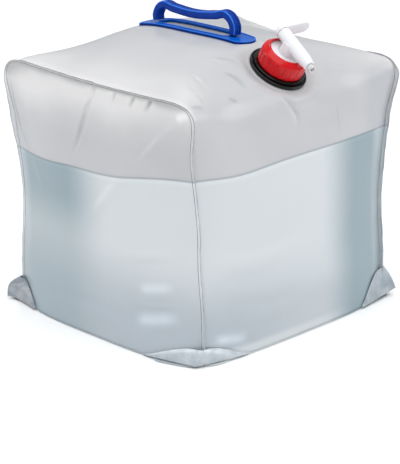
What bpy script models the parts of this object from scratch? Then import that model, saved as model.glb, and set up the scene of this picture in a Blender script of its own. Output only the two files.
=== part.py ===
"""Collapsible water carrier: a cube-shaped bag of clear film, two thirds full of water, with a carrying
handle and a tap that is clamped on the bag's neck by a screw ring.

Metres, +Z up. The bag stands on z = 0 and is centred on x = y = 0. The film's end panels face -X and +X,
the tap leans towards -Y, and the handle runs along Y.
Run with: blender --background --python part.py
"""

from math import cos, pi, radians, sin

import bmesh
import bpy
from mathutils import Matrix, Vector
from mathutils.bvhtree import BVHTree

# Clearances and overruns shared by all pieces
GAP = 0.0003
CUT_OVERRUN = 0.004
MERGE_DISTANCE = 0.00001

# The bag's film
FILM = 0.0008
BAG_WIDTH = 0.2756
BAG_DEPTH = 0.275
SEAM_HEIGHT = 0.260
CROWN_RISE = 0.034
SHOULDER_HEIGHT = 0.120
FRONT_LEFT_LIFT = 0.003
FRONT_RIGHT_LIFT = 0.009
BACK_RIGHT_LIFT = 0.031
BACK_LEFT_LIFT = 0.0125
LIFT_POWER = 2.2
WIDTH_FLARE = 0.0147
WIDTH_FLARE_START = 0.120
WIDTH_FLARE_END = 0.255
DEPTH_FLARE = 0.0145
DEPTH_FLARE_START = 0.200
DEPTH_FLARE_END = 0.270
WAIST = 0.0052
WAIST_START = 0.040
WAIST_END = 0.110
FACE_BULGE = 0.016
END_BULGE = 0.016
BULGE_RISE = 0.060
FACE_FOOT = 0.012
END_FOOT = 0.022
FOOT_FADE = 0.060
FOOT_POWER = 4
WELD_LIP = 0.004
MIDDLE_ROUNDNESS = 3.2
SEAM_ROUNDNESS = 11.0
SEAM_PINCH_POWER = 6
BELLY_POWER = 4
CORNER_CROWDING = 0.35
WALL_TURN_SHARE = 0.45

# The base film, its hem and the folded corner tabs
BASE_FILM = 0.0012
HEM = 0.0045
TAB_RUN = 0.046
TAB_REACH = 0.013
TAB_HEIGHT = 0.022
TAB_FOLD = 0.0022
TAB_CLEARANCE = 0.0010
TAB_SLOT_EXTRA = 0.0004

# Water
WATER_LEVEL = 0.184
WATER_CLEARANCE = 0.0016

# The neck: its seat on the film, gasket, fitment and inner nut. Its own frame has +Z out of the bag
NECK_FROM_FRONT = 0.026
NECK_TILT = radians(32.5)
NECK_SINK = 0.008
SEAT_RADIUS = 0.033
SEAT_FADE = 0.020
SEAT_GAP = 0.0005
GASKET_RADIUS = 0.0310
GASKET_THICKNESS = 0.0022
FLANGE_RADIUS = 0.0278
FLANGE_THICKNESS = 0.0026
NECK_RADIUS = 0.0196
NECK_BORE = 0.0166
NECK_HEIGHT = 0.0178
NECK_DEPTH = 0.0068
THREAD_HEIGHT = 0.0011
THREAD_WIDTH = 0.0016
THREAD_PITCH = 0.0040
THREAD_TURNS = 2.0
THREAD_START = 0.0078
INNER_NUT_RADIUS = 0.0262
INNER_NUT_THICKNESS = 0.0048
FITTING_EDGE = 0.0006

# The screw ring
RING_RADIUS = 0.0246
RING_RIB = 0.0009
RING_RIB_WIDTH = 0.0018
RING_RIBS = 20
RING_SKIRT = 0.0150
RING_OPENING = 0.0182
RING_LIP = 0.0028
RING_EDGE = 0.0005
RING_LAND = 0.0010

# The tap: seal washer, body, plug with lever, seals and outlet
WASHER_THICKNESS = 0.0020
DISC_RADIUS = 0.0203
DISC_THICKNESS = 0.0024
STEM_RADIUS = 0.0085
STEM_BORE = 0.0046
BARREL_RADIUS = 0.0070
BARREL_NOSE_RADIUS = 0.0056
BARREL_BORE = 0.0051
BARREL_REAR = 0.0160
BARREL_FRONT = 0.0345
BARREL_NOSE = 0.0120
BARREL_OVER_RING = 0.0026
TAP_SWIVEL = radians(-9)
PLUG_CLEARANCE = 0.0003
PLUG_BORE = 0.0024
PLUG_FRONT = 0.0140
PORT_RADIUS = 0.0020
PLUG_WALL = 0.0020
LEVER_HEAD_RADIUS = 0.0078
LEVER_HEAD = 0.0050
LEVER_REACH = 0.0320
LEVER_WIDTH = 0.0135
LEVER_THICKNESS = 0.0034
LEVER_EDGE = 0.0009
LEVER_RISE = radians(12)
SEAL_DEPTH = 0.0014
SEAL_WIRE = (SEAL_DEPTH + PLUG_CLEARANCE) / 2 - GAP
SEAL_FROM_CENTRE = 0.0092
OUTLET_RADIUS = 0.0038
OUTLET_BORE = 0.0024
OUTLET_SOCKET = 0.0075
OUTLET_REACH = 0.0050

# The handle
HANDLE_FROM_NECK = 0.1205
PLATE_LENGTH = 0.160
PLATE_WIDTH = 0.036
WINDOW_LENGTH = 0.106
WINDOW_WIDTH = 0.020
PLATE_THICKNESS = 0.0030
PLATE_EDGE = 0.0009
GRIP_SPAN = 0.114
GRIP_HEIGHT = 0.0255
GRIP_DIP = 0.0045
GRIP_WIDTH = 0.0120
GRIP_THICKNESS = 0.0088
GRIP_CORNER = 0.0026
GRIP_BEND = 0.0101
GRIP_HUMP_SHARE = 0.55
GRIP_HUMP_DIP_SHARE = 0.45

# Mesh fineness, in counts
WRAP_COLUMNS = 20
HEM_STEPS = 10
WALL_ROWS = 6
ARC_ROWS = 36
END_COLUMNS = 14
END_ROWS = 12
CORE_COLUMNS = 10
CORE_ROWS = 8
ROUND_STEPS = 40
SMALL_STEPS = 28
THREAD_STEPS = 16
RIB_STEPS = 3
SEAL_SIDES = 6
LEVER_TIP_STEPS = 8
GRIP_BEND_STEPS = 5
PLATE_STEPS = 48
PLATE_RINGS = 3
SETTLE_ROUNDS = 3
PROBE_SHARE = 0.0025

CROWN_HEIGHT = SEAM_HEIGHT + CROWN_RISE
NECK_Y = NECK_FROM_FRONT - BAG_DEPTH / 2
HANDLE_Y = NECK_Y + HANDLE_FROM_NECK
MIDDLE = FILM / 2
BASE_TOP = BASE_FILM + GAP


def smooth(value, low, high):
    """0 below low, 1 above high, and a smooth step between them."""
    share = min(max((value - low) / (high - low), 0), 1)
    return share * share * (3 - 2 * share)


def clear_scene():
    for obj in list(bpy.data.objects):
        bpy.data.objects.remove(obj, do_unlink=True)


def new_collection(name):
    collection = bpy.data.collections.new(name)
    bpy.context.scene.collection.children.link(collection)
    return collection


def principled(name, colour, roughness, metallic=0, alpha=1, transmission=0):
    material = bpy.data.materials.new(name)
    material.use_nodes = True
    shader = material.node_tree.nodes["Principled BSDF"]
    shader.inputs["Base Color"].default_value = (*colour, 1)
    shader.inputs["Roughness"].default_value = roughness
    shader.inputs["Metallic"].default_value = metallic
    shader.inputs["Alpha"].default_value = alpha
    shader.inputs["Transmission Weight"].default_value = transmission
    return material


def clear_film():
    return principled("clear_film", (0.80, 0.84, 0.87), 0.35, alpha=0.45, transmission=0.6)


def tab_film():
    return principled("tab_film", (0.74, 0.82, 0.86), 0.35, alpha=0.6, transmission=0.4)


def water():
    return principled("water", (0.62, 0.78, 0.84), 0.05, alpha=0.6, transmission=0.8)


def blue_grip_plastic():
    return principled("blue_grip_plastic", (0.004, 0.050, 0.390), 0.25)


def blue_plate_plastic():
    return principled("blue_plate_plastic", (0.004, 0.180, 0.670), 0.25)


def black_plastic():
    return principled("black_plastic", (0.008, 0.008, 0.009), 0.22)


def black_rubber():
    return principled("black_rubber", (0.012, 0.012, 0.013), 0.45)


def grey_rubber():
    return principled("grey_rubber", (0.30, 0.31, 0.33), 0.6)


def red_plastic():
    return principled("red_plastic", (0.750, 0.016, 0.020), 0.3)


def white_plastic():
    return principled("white_plastic", (0.80, 0.80, 0.83), 0.35)


def mesh_object(name, bm, material, collection, parent=None):
    """An object from a bmesh, which is freed."""
    mesh = bpy.data.meshes.new(name)
    bmesh.ops.recalc_face_normals(bm, faces=bm.faces)
    bm.to_mesh(mesh)
    bm.free()
    obj = bpy.data.objects.new(name, mesh)
    if material:
        mesh.materials.append(material)
    collection.objects.link(obj)
    obj.parent = parent
    return obj


def cutter_object(name, bm, cutters, parent=None):
    cutter = mesh_object(name, bm, None, cutters, parent)
    cutter.hide_render = True
    cutter.display_type = "WIRE"
    return cutter


def boolean(obj, operation, other, name):
    modifier = obj.modifiers.new(name, "BOOLEAN")
    modifier.operation = operation
    modifier.object = other
    modifier.solver = "EXACT"


def solidify(obj, thickness, offset=0):
    modifier = obj.modifiers.new("film_thickness", "SOLIDIFY")
    modifier.thickness = thickness
    modifier.offset = offset
    modifier.use_even_offset = True
    modifier.use_quality_normals = True


def bevel(obj, width, segments=2, angle=radians(40)):
    modifier = obj.modifiers.new("rounded_edges", "BEVEL")
    modifier.width = width
    modifier.segments = segments
    modifier.limit_method = "ANGLE"
    modifier.angle_limit = angle


def shade(obj, angle=radians(35)):
    obj.data.shade_smooth()
    obj.data.set_sharp_from_angle(angle=angle)


def turned(name, profile, material, collection, parent=None, steps=ROUND_STEPS):
    """A closed (radius, height) profile turned about the Z axis, left open where it runs on that axis."""
    mesh = bpy.data.meshes.new(name)
    count = len(profile)
    sides = [(i, (i + 1) % count) for i in range(count)]
    mesh.from_pydata(
        [(radius, 0, height) for radius, height in profile],
        [(i, j) for i, j in sides if profile[i][0] > 0 or profile[j][0] > 0],
        [],
    )
    mesh.materials.append(material)
    obj = bpy.data.objects.new(name, mesh)
    collection.objects.link(obj)
    obj.parent = parent
    screw = obj.modifiers.new("turned", "SCREW")
    screw.steps = steps
    screw.render_steps = steps
    screw.use_merge_vertices = True
    screw.merge_threshold = MERGE_DISTANCE
    screw.use_smooth_shade = True
    return obj


def ring_profile(inner, outer, bottom, top, edge):
    """A ring's section, run down its outer side, with its two outer edges chamfered."""
    return [
        (inner, top),
        (outer - edge, top),
        (outer, top - edge),
        (outer, bottom + edge),
        (outer - edge, bottom),
        (inner, bottom),
    ]


def rod_bmesh(radius, low, high, steps=SMALL_STEPS):
    """A solid cylinder on the Z axis from low to high."""
    bm = bmesh.new()
    bmesh.ops.create_cone(
        bm,
        cap_ends=True,
        segments=steps,
        radius1=radius,
        radius2=radius,
        depth=high - low,
        matrix=Matrix.Translation((0, 0, (low + high) / 2)),
    )
    return bm


def box_bmesh(low, high):
    bm = bmesh.new()
    size = Vector(high) - Vector(low)
    middle = (Vector(high) + Vector(low)) / 2
    bmesh.ops.create_cube(bm, size=1, matrix=Matrix.Translation(middle) @ Matrix.Diagonal((*size, 1)))
    return bm


# The shape of the bag. Each function gives a place on the middle of the film's thickness.


def half_width(z):
    return BAG_WIDTH / 2 + WIDTH_FLARE * smooth(z, WIDTH_FLARE_START, WIDTH_FLARE_END)


def foot_swell(share, z):
    """How full a face stands over the floor, at a share from -1 to 1 across it."""
    return (1 - abs(share) ** FOOT_POWER) * (1 - smooth(z, 0, FOOT_FADE))


def half_depth(u, z):
    waist = WAIST * smooth(z, WAIST_START, WAIST_END)
    flare = DEPTH_FLARE * smooth(z, DEPTH_FLARE_START, DEPTH_FLARE_END)
    bulge = FACE_BULGE * (1 - u * u) * smooth(z, 0, BULGE_RISE) + FACE_FOOT * foot_swell(u, z)
    return BAG_DEPTH / 2 - waist + flare + bulge


def end_reach(share, z):
    """How far an end panel stands out past its seams, at a share from -1 to 1 across it."""
    belly = (1 - share * share) * smooth(z, 0, BULGE_RISE) * max(1 - (z / SEAM_HEIGHT) ** BELLY_POWER, 0)
    return END_BULGE * belly + END_FOOT * foot_swell(share, z)


def top_height(u):
    return SEAM_HEIGHT + (CROWN_HEIGHT - SEAM_HEIGHT) * (1 - u * u)


def roundness(u):
    return MIDDLE_ROUNDNESS + (SEAM_ROUNDNESS - MIDDLE_ROUNDNESS) * abs(u) ** SEAM_PINCH_POWER


def arc_place(u, angle):
    """(y, z) of the shoulder and top at this direction angle, 0 at the back wall and pi at the front wall."""
    power = roundness(u)
    reach = (abs(cos(angle)) ** power + abs(sin(angle)) ** power) ** (-1 / power)
    z = SHOULDER_HEIGHT + (top_height(u) - SHOULDER_HEIGHT) * reach * sin(angle)
    return half_depth(u, z) * reach * cos(angle), z


def crowded(angle):
    """The direction angle, with its steps crowded round the two shoulders."""
    return angle + CORNER_CROWDING / 4 * sin(4 * angle)


def wrap_place(u, share):
    """(y, z) at a share of the way from the front bottom edge, over the top, to the back bottom edge."""
    rows = 2 * WALL_ROWS + ARC_ROWS
    wall = WALL_ROWS / rows
    if share < wall or share > 1 - wall:
        side = -1 if share < wall else 1
        climb = min(share, 1 - share) / wall
        z = BASE_TOP + (SHOULDER_HEIGHT - BASE_TOP) * climb
        return side * half_depth(u, z), z
    return arc_place(u, crowded(pi * (1 - (share - wall) / (1 - 2 * wall))))


def corner_lift(x, y, z):
    """How far the film is drawn up toward the top's four corners, each by its own amount."""
    right = min(max(x / BAG_WIDTH + 0.5, 0), 1)
    back = min(max(y / BAG_DEPTH + 0.5, 0), 1)
    level = z / SEAM_HEIGHT
    lift = FRONT_LEFT_LIFT * ((1 - right) * (1 - back) * level) ** LIFT_POWER
    lift += FRONT_RIGHT_LIFT * (right * (1 - back) * level) ** LIFT_POWER
    lift += BACK_RIGHT_LIFT * (right * back * level) ** LIFT_POWER
    return lift + BACK_LEFT_LIFT * ((1 - right) * back * level) ** LIFT_POWER


def film_height(x, y):
    """The height of the top film over a place near the middle of the top."""
    u = x / half_width(SEAM_HEIGHT)
    power = roundness(u)
    inset = (1 - (abs(y) / half_depth(u, SEAM_HEIGHT)) ** power) ** (1 / power)
    z = SHOULDER_HEIGHT + (top_height(u) - SHOULDER_HEIGHT) * inset
    return z + corner_lift(x, y, z)


NECK_AXIS = Vector((0, -sin(NECK_TILT), cos(NECK_TILT)))
NECK_PLACE = Vector((0, NECK_Y, film_height(0, NECK_Y))) - NECK_AXIS * NECK_SINK


def seated(place):
    """The film is drawn flat round the neck, where the gasket clamps it."""
    away = place - NECK_PLACE
    height = away.dot(NECK_AXIS)
    if abs(height) > SEAT_RADIUS:
        return place
    radius = (away - NECK_AXIS * height).length
    return place - NECK_AXIS * height * (1 - smooth(radius, SEAT_RADIUS, SEAT_RADIUS + SEAT_FADE))


def lifted(x, y, z):
    return seated(Vector((x, y, z + corner_lift(x, y, z))))


def outward(u, share):
    """The direction out of the bag, square to the wrap's profile in the YZ plane."""
    before = Vector(wrap_place(u, max(share - PROBE_SHARE, 0)))
    after = Vector(wrap_place(u, min(share + PROBE_SHARE, 1)))
    along = (after - before).normalized()
    return Vector((-along.y, along.x))


def make_wrap_film(material, collection, cutters, neck):
    """Front, top and back in one sheet, its two edges turned out into the welds."""
    columns = WRAP_COLUMNS + 2
    rows = 2 * WALL_ROWS + ARC_ROWS
    bm = bmesh.new()
    bmesh.ops.create_grid(bm, x_segments=columns, y_segments=rows, size=0.5)
    for vertex in bm.verts:
        column = round((vertex.co.x + 0.5) * columns)
        share = round((vertex.co.y + 0.5) * rows) / rows
        u = min(max((column - 1) / WRAP_COLUMNS * 2 - 1, -1), 1)
        y, z = wrap_place(u, share)
        x = u * (half_width(z) - (FILM + GAP) / 2)
        place = lifted(x, y, z)
        if column in (0, columns):
            out = outward(u, share)
            place += Vector((0, out.x, out.y)) * WELD_LIP
        vertex.co = place
    film = mesh_object("wrap_film", bm, material, collection)
    shade(film)
    solidify(film, FILM)
    hole = rod_bmesh(NECK_RADIUS + GAP, -CUT_OVERRUN, CUT_OVERRUN, ROUND_STEPS)
    boolean(film, "DIFFERENCE", cutter_object("neck_hole_cutter", hole, cutters, neck), "neck_hole")
    return film


def end_edge(share):
    """(y, z) up the end panel's front edge, from the floor to the middle of its top corner."""
    if share < WALL_TURN_SHARE:
        z = BASE_TOP + (SHOULDER_HEIGHT - BASE_TOP) * share / WALL_TURN_SHARE
        return Vector((-half_depth(1, z), z))
    turn = (share - WALL_TURN_SHARE) / (1 - WALL_TURN_SHARE)
    return Vector(arc_place(1, crowded(pi - pi / 4 * turn)))


def end_place(v, w):
    """(y, z) inside the end panel's outline, filled in from its four edges, with v and w from 0 to 1."""
    left = end_edge(w)
    right = Vector((-left.x, left.y))
    top = Vector(arc_place(1, crowded(pi * (3 - 2 * v) / 4)))
    bottom = Vector((-half_depth(1, BASE_TOP) * (1 - 2 * v), BASE_TOP))
    corner = end_edge(1)
    low = end_edge(0)
    corners = (1 - w) * ((1 - v) * low + v * Vector((-low.x, low.y)))
    corners += w * ((1 - v) * corner + v * Vector((-corner.x, corner.y)))
    return (1 - w) * bottom + w * top + (1 - v) * left + v * right - corners


def end_out(v, w):
    """The direction out of the end panel's outline at a place on its left, top or right edge."""
    if 0 < v < 1 or w == 1 and v in (0, 1):
        along = end_place(min(v + PROBE_SHARE, 1), 1) - end_place(max(v - PROBE_SHARE, 0), 1)
        if v in (0, 1):
            side = end_place(v, 1) - end_place(v, 1 - PROBE_SHARE)
            along = along.normalized() + side.normalized() * (1 if v == 0 else -1)
    else:
        along = end_place(v, min(w + PROBE_SHARE, 1)) - end_place(v, max(w - PROBE_SHARE, 0))
        along *= 1 if v == 0 else -1
    along.normalize()
    return Vector((-along.y, along.x))


def make_end_film(side, material, collection):
    """One end panel, side -1 or 1: a bulged sheet whose front, top and back borders lie in the weld."""
    columns = END_COLUMNS + 2
    rows = END_ROWS + 1
    bm = bmesh.new()
    bmesh.ops.create_grid(bm, x_segments=columns, y_segments=rows, size=0.5)
    for vertex in bm.verts:
        column = round((vertex.co.x + 0.5) * columns)
        row = round((vertex.co.y + 0.5) * rows)
        v = min(max((column - 1) / END_COLUMNS, 0), 1)
        w = min(row / END_ROWS, 1)
        y, z = end_place(v, w)
        x = side * (half_width(z) + (FILM + GAP) / 2 + end_reach(y / half_depth(1, z), z))
        place = Vector((x, y, z + corner_lift(side * (half_width(z) - (FILM + GAP) / 2), y, z)))
        if column in (0, columns) or row == rows:
            out = end_out(v, w)
            place += Vector((0, out.x, out.y)) * WELD_LIP
        vertex.co = place
    bmesh.ops.remove_doubles(bm, verts=bm.verts, dist=MERGE_DISTANCE)
    film = mesh_object("left_end_film" if side < 0 else "right_end_film", bm, material, collection)
    shade(film)
    solidify(film, FILM)
    return film


def base_corner(sign_x, sign_y, out):
    return Vector((sign_x * (BAG_WIDTH / 2 + out), sign_y * (BAG_DEPTH / 2 + out), 0))


CORNERS = {
    "front_left": (-1, -1),
    "front_right": (1, -1),
    "back_right": (1, 1),
    "back_left": (-1, 1),
}


def side_place(face, share, out):
    """(x, y) at the foot of side 0 to 3, front, right, back and left, at a share of the run between its folds."""
    if face % 2 == 0:
        u = share * (1 - 2 * TAB_RUN / BAG_WIDTH)
        x, y = u * BAG_WIDTH / 2, -half_depth(u, 0) - out
    else:
        v = share * (1 - 2 * TAB_RUN / BAG_DEPTH)
        x, y = BAG_WIDTH / 2 + end_reach(v, 0) + out, v * BAG_DEPTH / 2
    return Vector((x, y, 0)) if face < 2 else Vector((-x, -y, 0))


def make_base_film(material, collection):
    """The flat bottom sheet: its hem shows round the walls and runs out to a point at each folded corner."""
    curve = bpy.data.curves.new("base_film", "CURVE")
    curve.dimensions = "2D"
    curve.fill_mode = "BOTH"
    curve.extrude = BASE_FILM / 2
    points = []
    for face, (sign_x, sign_y) in enumerate(CORNERS.values()):
        points.append(base_corner(sign_x, sign_y, TAB_REACH + HEM / 2))
        points += [side_place(face, 2 * step / HEM_STEPS - 1, HEM) for step in range(HEM_STEPS + 1)]
    spline = curve.splines.new("POLY")
    spline.points.add(len(points) - 1)
    for point, place in zip(spline.points, points):
        point.co = (place.x, place.y, 0, 1)
    spline.use_cyclic_u = True
    curve.materials.append(material)
    base = bpy.data.objects.new("base_film", curve)
    base.location.z = BASE_FILM / 2
    collection.objects.link(base)
    return base


def wall_y(u, z):
    """The wall's half depth at a height, drawn in over the shoulder."""
    if z <= SHOULDER_HEIGHT:
        return half_depth(u, z)
    power = roundness(u)
    share = (z - SHOULDER_HEIGHT) / (top_height(u) - SHOULDER_HEIGHT)
    return half_depth(u, z) * (1 - share**power) ** (1 / power)


def core_place(column, level, grow):
    """(x, y) on the bag's outline at one height, moved outwards by grow, before its corners are lifted."""
    face, step = divmod(column, CORE_COLUMNS)
    share = 2 * step / CORE_COLUMNS - 1
    reach_x = half_width(level) + grow
    if face % 2 == 0:
        x, y = share * reach_x, -wall_y(share, level) - grow
    else:
        x, y = reach_x + end_reach(share, level), share * (wall_y(1, level) + grow)
    return (x, y) if face < 2 else (-x, -y)


def core_loop(z, grow):
    """The bag's outline at one height, all the way round, moved outwards by grow."""
    loop = []
    for column in range(4 * CORE_COLUMNS):
        level = max(z, 0)
        x, y = core_place(column, level, grow)
        loop.append(core_place(column, max(level - corner_lift(x, y, level), 0), grow))
    return loop


def core_bmesh(low, high, grow):
    """The bag's inside between two heights as one solid, lofted through its outlines."""
    around = 4 * CORE_COLUMNS
    bm = bmesh.new()
    bmesh.ops.create_grid(bm, x_segments=around, y_segments=CORE_ROWS, size=0.5)
    for vertex in bm.verts:
        row = round((vertex.co.y + 0.5) * CORE_ROWS)
        column = round((vertex.co.x + 0.5) * around) % around
        z = low + (high - low) * row / CORE_ROWS
        x, y = core_loop(z, grow)[column]
        vertex.co = (x, y, z)
    bmesh.ops.remove_doubles(bm, verts=bm.verts, dist=MERGE_DISTANCE)
    bmesh.ops.holes_fill(bm, edges=bm.edges, sides=0)
    return bm


def make_corner_tab(face, name, sign_x, sign_y, core_cutter, cutters, material, collection):
    """The bag's surplus film, folded out at a bottom corner into a low triangular tab."""
    bm = bmesh.new()
    floor = BASE_TOP
    fold = floor + TAB_FOLD / 2
    wall_out = FILM + TAB_CLEARANCE + TAB_FOLD / 2
    corner = base_corner(sign_x, sign_y, wall_out)
    tip = base_corner(sign_x, sign_y, TAB_REACH)
    before = side_place((face - 1) % len(CORNERS), 1, wall_out)
    after = side_place(face, -1, wall_out)
    inner = base_corner(sign_x, sign_y, -TAB_FOLD)
    for place in (before, after, tip, inner):
        for height in (floor, fold):
            bm.verts.new((place.x, place.y, height))
    bm.verts.new((corner.x, corner.y, floor + TAB_HEIGHT))
    bm.verts.new((inner.x, inner.y, floor + TAB_HEIGHT))
    hull = bmesh.ops.convex_hull(bm, input=bm.verts)
    left_over = {part for part in hull["geom_interior"] + hull["geom_unused"] if part.is_valid}
    inside = [part for part in left_over if isinstance(part, bmesh.types.BMVert)]
    bmesh.ops.delete(bm, geom=inside, context="VERTS")
    tab = mesh_object(f"corner_tab_{name}", bm, material, collection)
    half_slot = FILM + GAP / 2 + TAB_CLEARANCE + TAB_SLOT_EXTRA
    near = sign_y * (BAG_DEPTH / 2 - TAB_REACH)
    far = sign_y * (BAG_DEPTH / 2 + WELD_LIP + TAB_CLEARANCE)
    slot = box_bmesh(
        (sign_x * BAG_WIDTH / 2 - half_slot, min(near, far), floor - CUT_OVERRUN),
        (sign_x * BAG_WIDTH / 2 + half_slot, max(near, far), floor + TAB_HEIGHT + CUT_OVERRUN),
    )
    boolean(tab, "DIFFERENCE", cutter_object(f"weld_slot_{name}", slot, cutters), "weld_slot")
    boolean(tab, "DIFFERENCE", core_cutter, "bag_wall")
    return tab


def make_water(material, collection):
    bm = core_bmesh(BASE_TOP + GAP, WATER_LEVEL, -FILM / 2 - WATER_CLEARANCE)
    fill = mesh_object("water_fill", bm, material, collection)
    shade(fill)
    return fill


# Heights in the neck's frame, stacked up from the middle of the film
GASKET_BOTTOM = MIDDLE + SEAT_GAP
FLANGE_BOTTOM = GASKET_BOTTOM + GASKET_THICKNESS + GAP
FLANGE_TOP = FLANGE_BOTTOM + FLANGE_THICKNESS
WASHER_BOTTOM = NECK_HEIGHT + GAP
DISC_BOTTOM = WASHER_BOTTOM + WASHER_THICKNESS + GAP
DISC_TOP = DISC_BOTTOM + DISC_THICKNESS
RING_BOTTOM = FLANGE_TOP + GAP
RING_SHOULDER = DISC_TOP + GAP
RING_TOP = RING_SHOULDER + RING_LIP
RING_BORE = NECK_RADIUS + THREAD_HEIGHT + GAP
BARREL_AXIS = RING_TOP + BARREL_OVER_RING + BARREL_RADIUS


def make_empty(name, collection, parent=None, location=(0, 0, 0), rotation=(0, 0, 0)):
    empty = bpy.data.objects.new(name, None)
    empty.location = location
    empty.rotation_euler = rotation
    empty.parent = parent
    collection.objects.link(empty)
    return empty


def make_neck_gasket(neck, material, collection):
    top = GASKET_BOTTOM + GASKET_THICKNESS
    profile = ring_profile(NECK_RADIUS + GAP, GASKET_RADIUS, GASKET_BOTTOM, top, FITTING_EDGE)
    return turned("neck_gasket", profile, material, collection, neck)


def curve_mesh(curve, material):
    """The mesh of a curve with its caps welded, and the curve removed."""
    guide = bpy.data.objects.new(curve.name, curve)
    bpy.context.scene.collection.objects.link(guide)
    graph = bpy.context.evaluated_depsgraph_get()
    mesh = bpy.data.meshes.new_from_object(guide.evaluated_get(graph))
    bm = bmesh.new()
    bm.from_mesh(mesh)
    bmesh.ops.remove_doubles(bm, verts=bm.verts, dist=MERGE_DISTANCE)
    bmesh.ops.recalc_face_normals(bm, faces=bm.faces)
    bm.to_mesh(mesh)
    bm.free()
    if material:
        mesh.materials.append(material)
    bpy.data.objects.remove(guide)
    return mesh


def thread_mesh():
    """The neck's thread: a helix that runs out of the neck's wall and back into it."""
    curve = bpy.data.curves.new("thread", "CURVE")
    curve.dimensions = "3D"
    curve.bevel_depth = THREAD_WIDTH / 2
    curve.bevel_resolution = 1
    curve.use_fill_caps = True
    spline = curve.splines.new("POLY")
    count = round(THREAD_TURNS * THREAD_STEPS)
    spline.points.add(count)
    crest = NECK_RADIUS + THREAD_HEIGHT - THREAD_WIDTH / 2
    for i, point in enumerate(spline.points):
        turn = 2 * pi * THREAD_TURNS * i / count
        fade = min(smooth(i, 0, THREAD_STEPS / 4), smooth(count - i, 0, THREAD_STEPS / 4))
        radius = crest - THREAD_HEIGHT * (1 - fade)
        height = THREAD_START + THREAD_PITCH * turn / (2 * pi)
        point.co = (radius * cos(turn), radius * sin(turn), height, 1)
    return curve_mesh(curve, None)


def make_neck_fitment(neck, material, collection, cutters):
    """Flange and threaded neck in one moulding, whose lower end passes through the film."""
    profile = [
        (NECK_BORE, NECK_HEIGHT),
        (NECK_RADIUS - FITTING_EDGE, NECK_HEIGHT),
        (NECK_RADIUS, NECK_HEIGHT - FITTING_EDGE),
        (NECK_RADIUS, FLANGE_TOP),
        (FLANGE_RADIUS - FITTING_EDGE, FLANGE_TOP),
        (FLANGE_RADIUS, FLANGE_TOP - FITTING_EDGE),
        (FLANGE_RADIUS, FLANGE_BOTTOM),
        (NECK_RADIUS, FLANGE_BOTTOM),
        (NECK_RADIUS, -NECK_DEPTH),
        (NECK_BORE, -NECK_DEPTH),
    ]
    fitment = turned("neck_fitment", profile, material, collection, neck)
    thread = bpy.data.objects.new("thread", thread_mesh())
    cutters.objects.link(thread)
    thread.parent = neck
    thread.hide_render = True
    thread.display_type = "WIRE"
    boolean(fitment, "UNION", thread, "thread")
    return fitment


def make_inner_nut(neck, material, collection):
    top = -MIDDLE - SEAT_GAP
    profile = ring_profile(
        NECK_RADIUS + GAP, INNER_NUT_RADIUS, top - INNER_NUT_THICKNESS, top, FITTING_EDGE
    )
    return turned("neck_inner_nut", profile, material, collection, neck)


def make_screw_ring(neck, material, collection, cutters):
    """Ribbed skirt, sloping shoulder and open top, under which the tap's disc is clamped."""
    skirt_top = RING_BOTTOM + RING_SKIRT
    profile = [
        (RING_OPENING, RING_TOP),
        (RING_OPENING + RING_LAND, RING_TOP),
        (RING_RADIUS, skirt_top),
        (RING_RADIUS, RING_BOTTOM),
        (RING_BORE, RING_BOTTOM),
        (RING_BORE, RING_SHOULDER),
        (RING_OPENING, RING_SHOULDER),
    ]
    ring = turned("screw_ring", profile, material, collection, neck, steps=RING_RIBS * RIB_STEPS)
    ribs = bmesh.new()
    for i in range(RING_RIBS):
        turn = Matrix.Rotation(2 * pi * i / RING_RIBS, 4, "Z")
        place = Matrix.Translation((RING_RADIUS, 0, (RING_BOTTOM + RING_EDGE + skirt_top) / 2))
        size = Matrix.Diagonal((RING_RIB * 2, RING_RIB_WIDTH, RING_SKIRT - RING_EDGE, 1))
        bmesh.ops.create_cube(ribs, size=1, matrix=turn @ place @ size)
    boolean(ring, "UNION", cutter_object("ring_ribs", ribs, cutters, neck), "ribs")
    return ring


def make_washer(neck, material, collection):
    top = WASHER_BOTTOM + WASHER_THICKNESS
    profile = ring_profile(NECK_BORE, DISC_RADIUS, WASHER_BOTTOM, top, FITTING_EDGE / 2)
    return turned("tap_seal_washer", profile, material, collection, neck)


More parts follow.
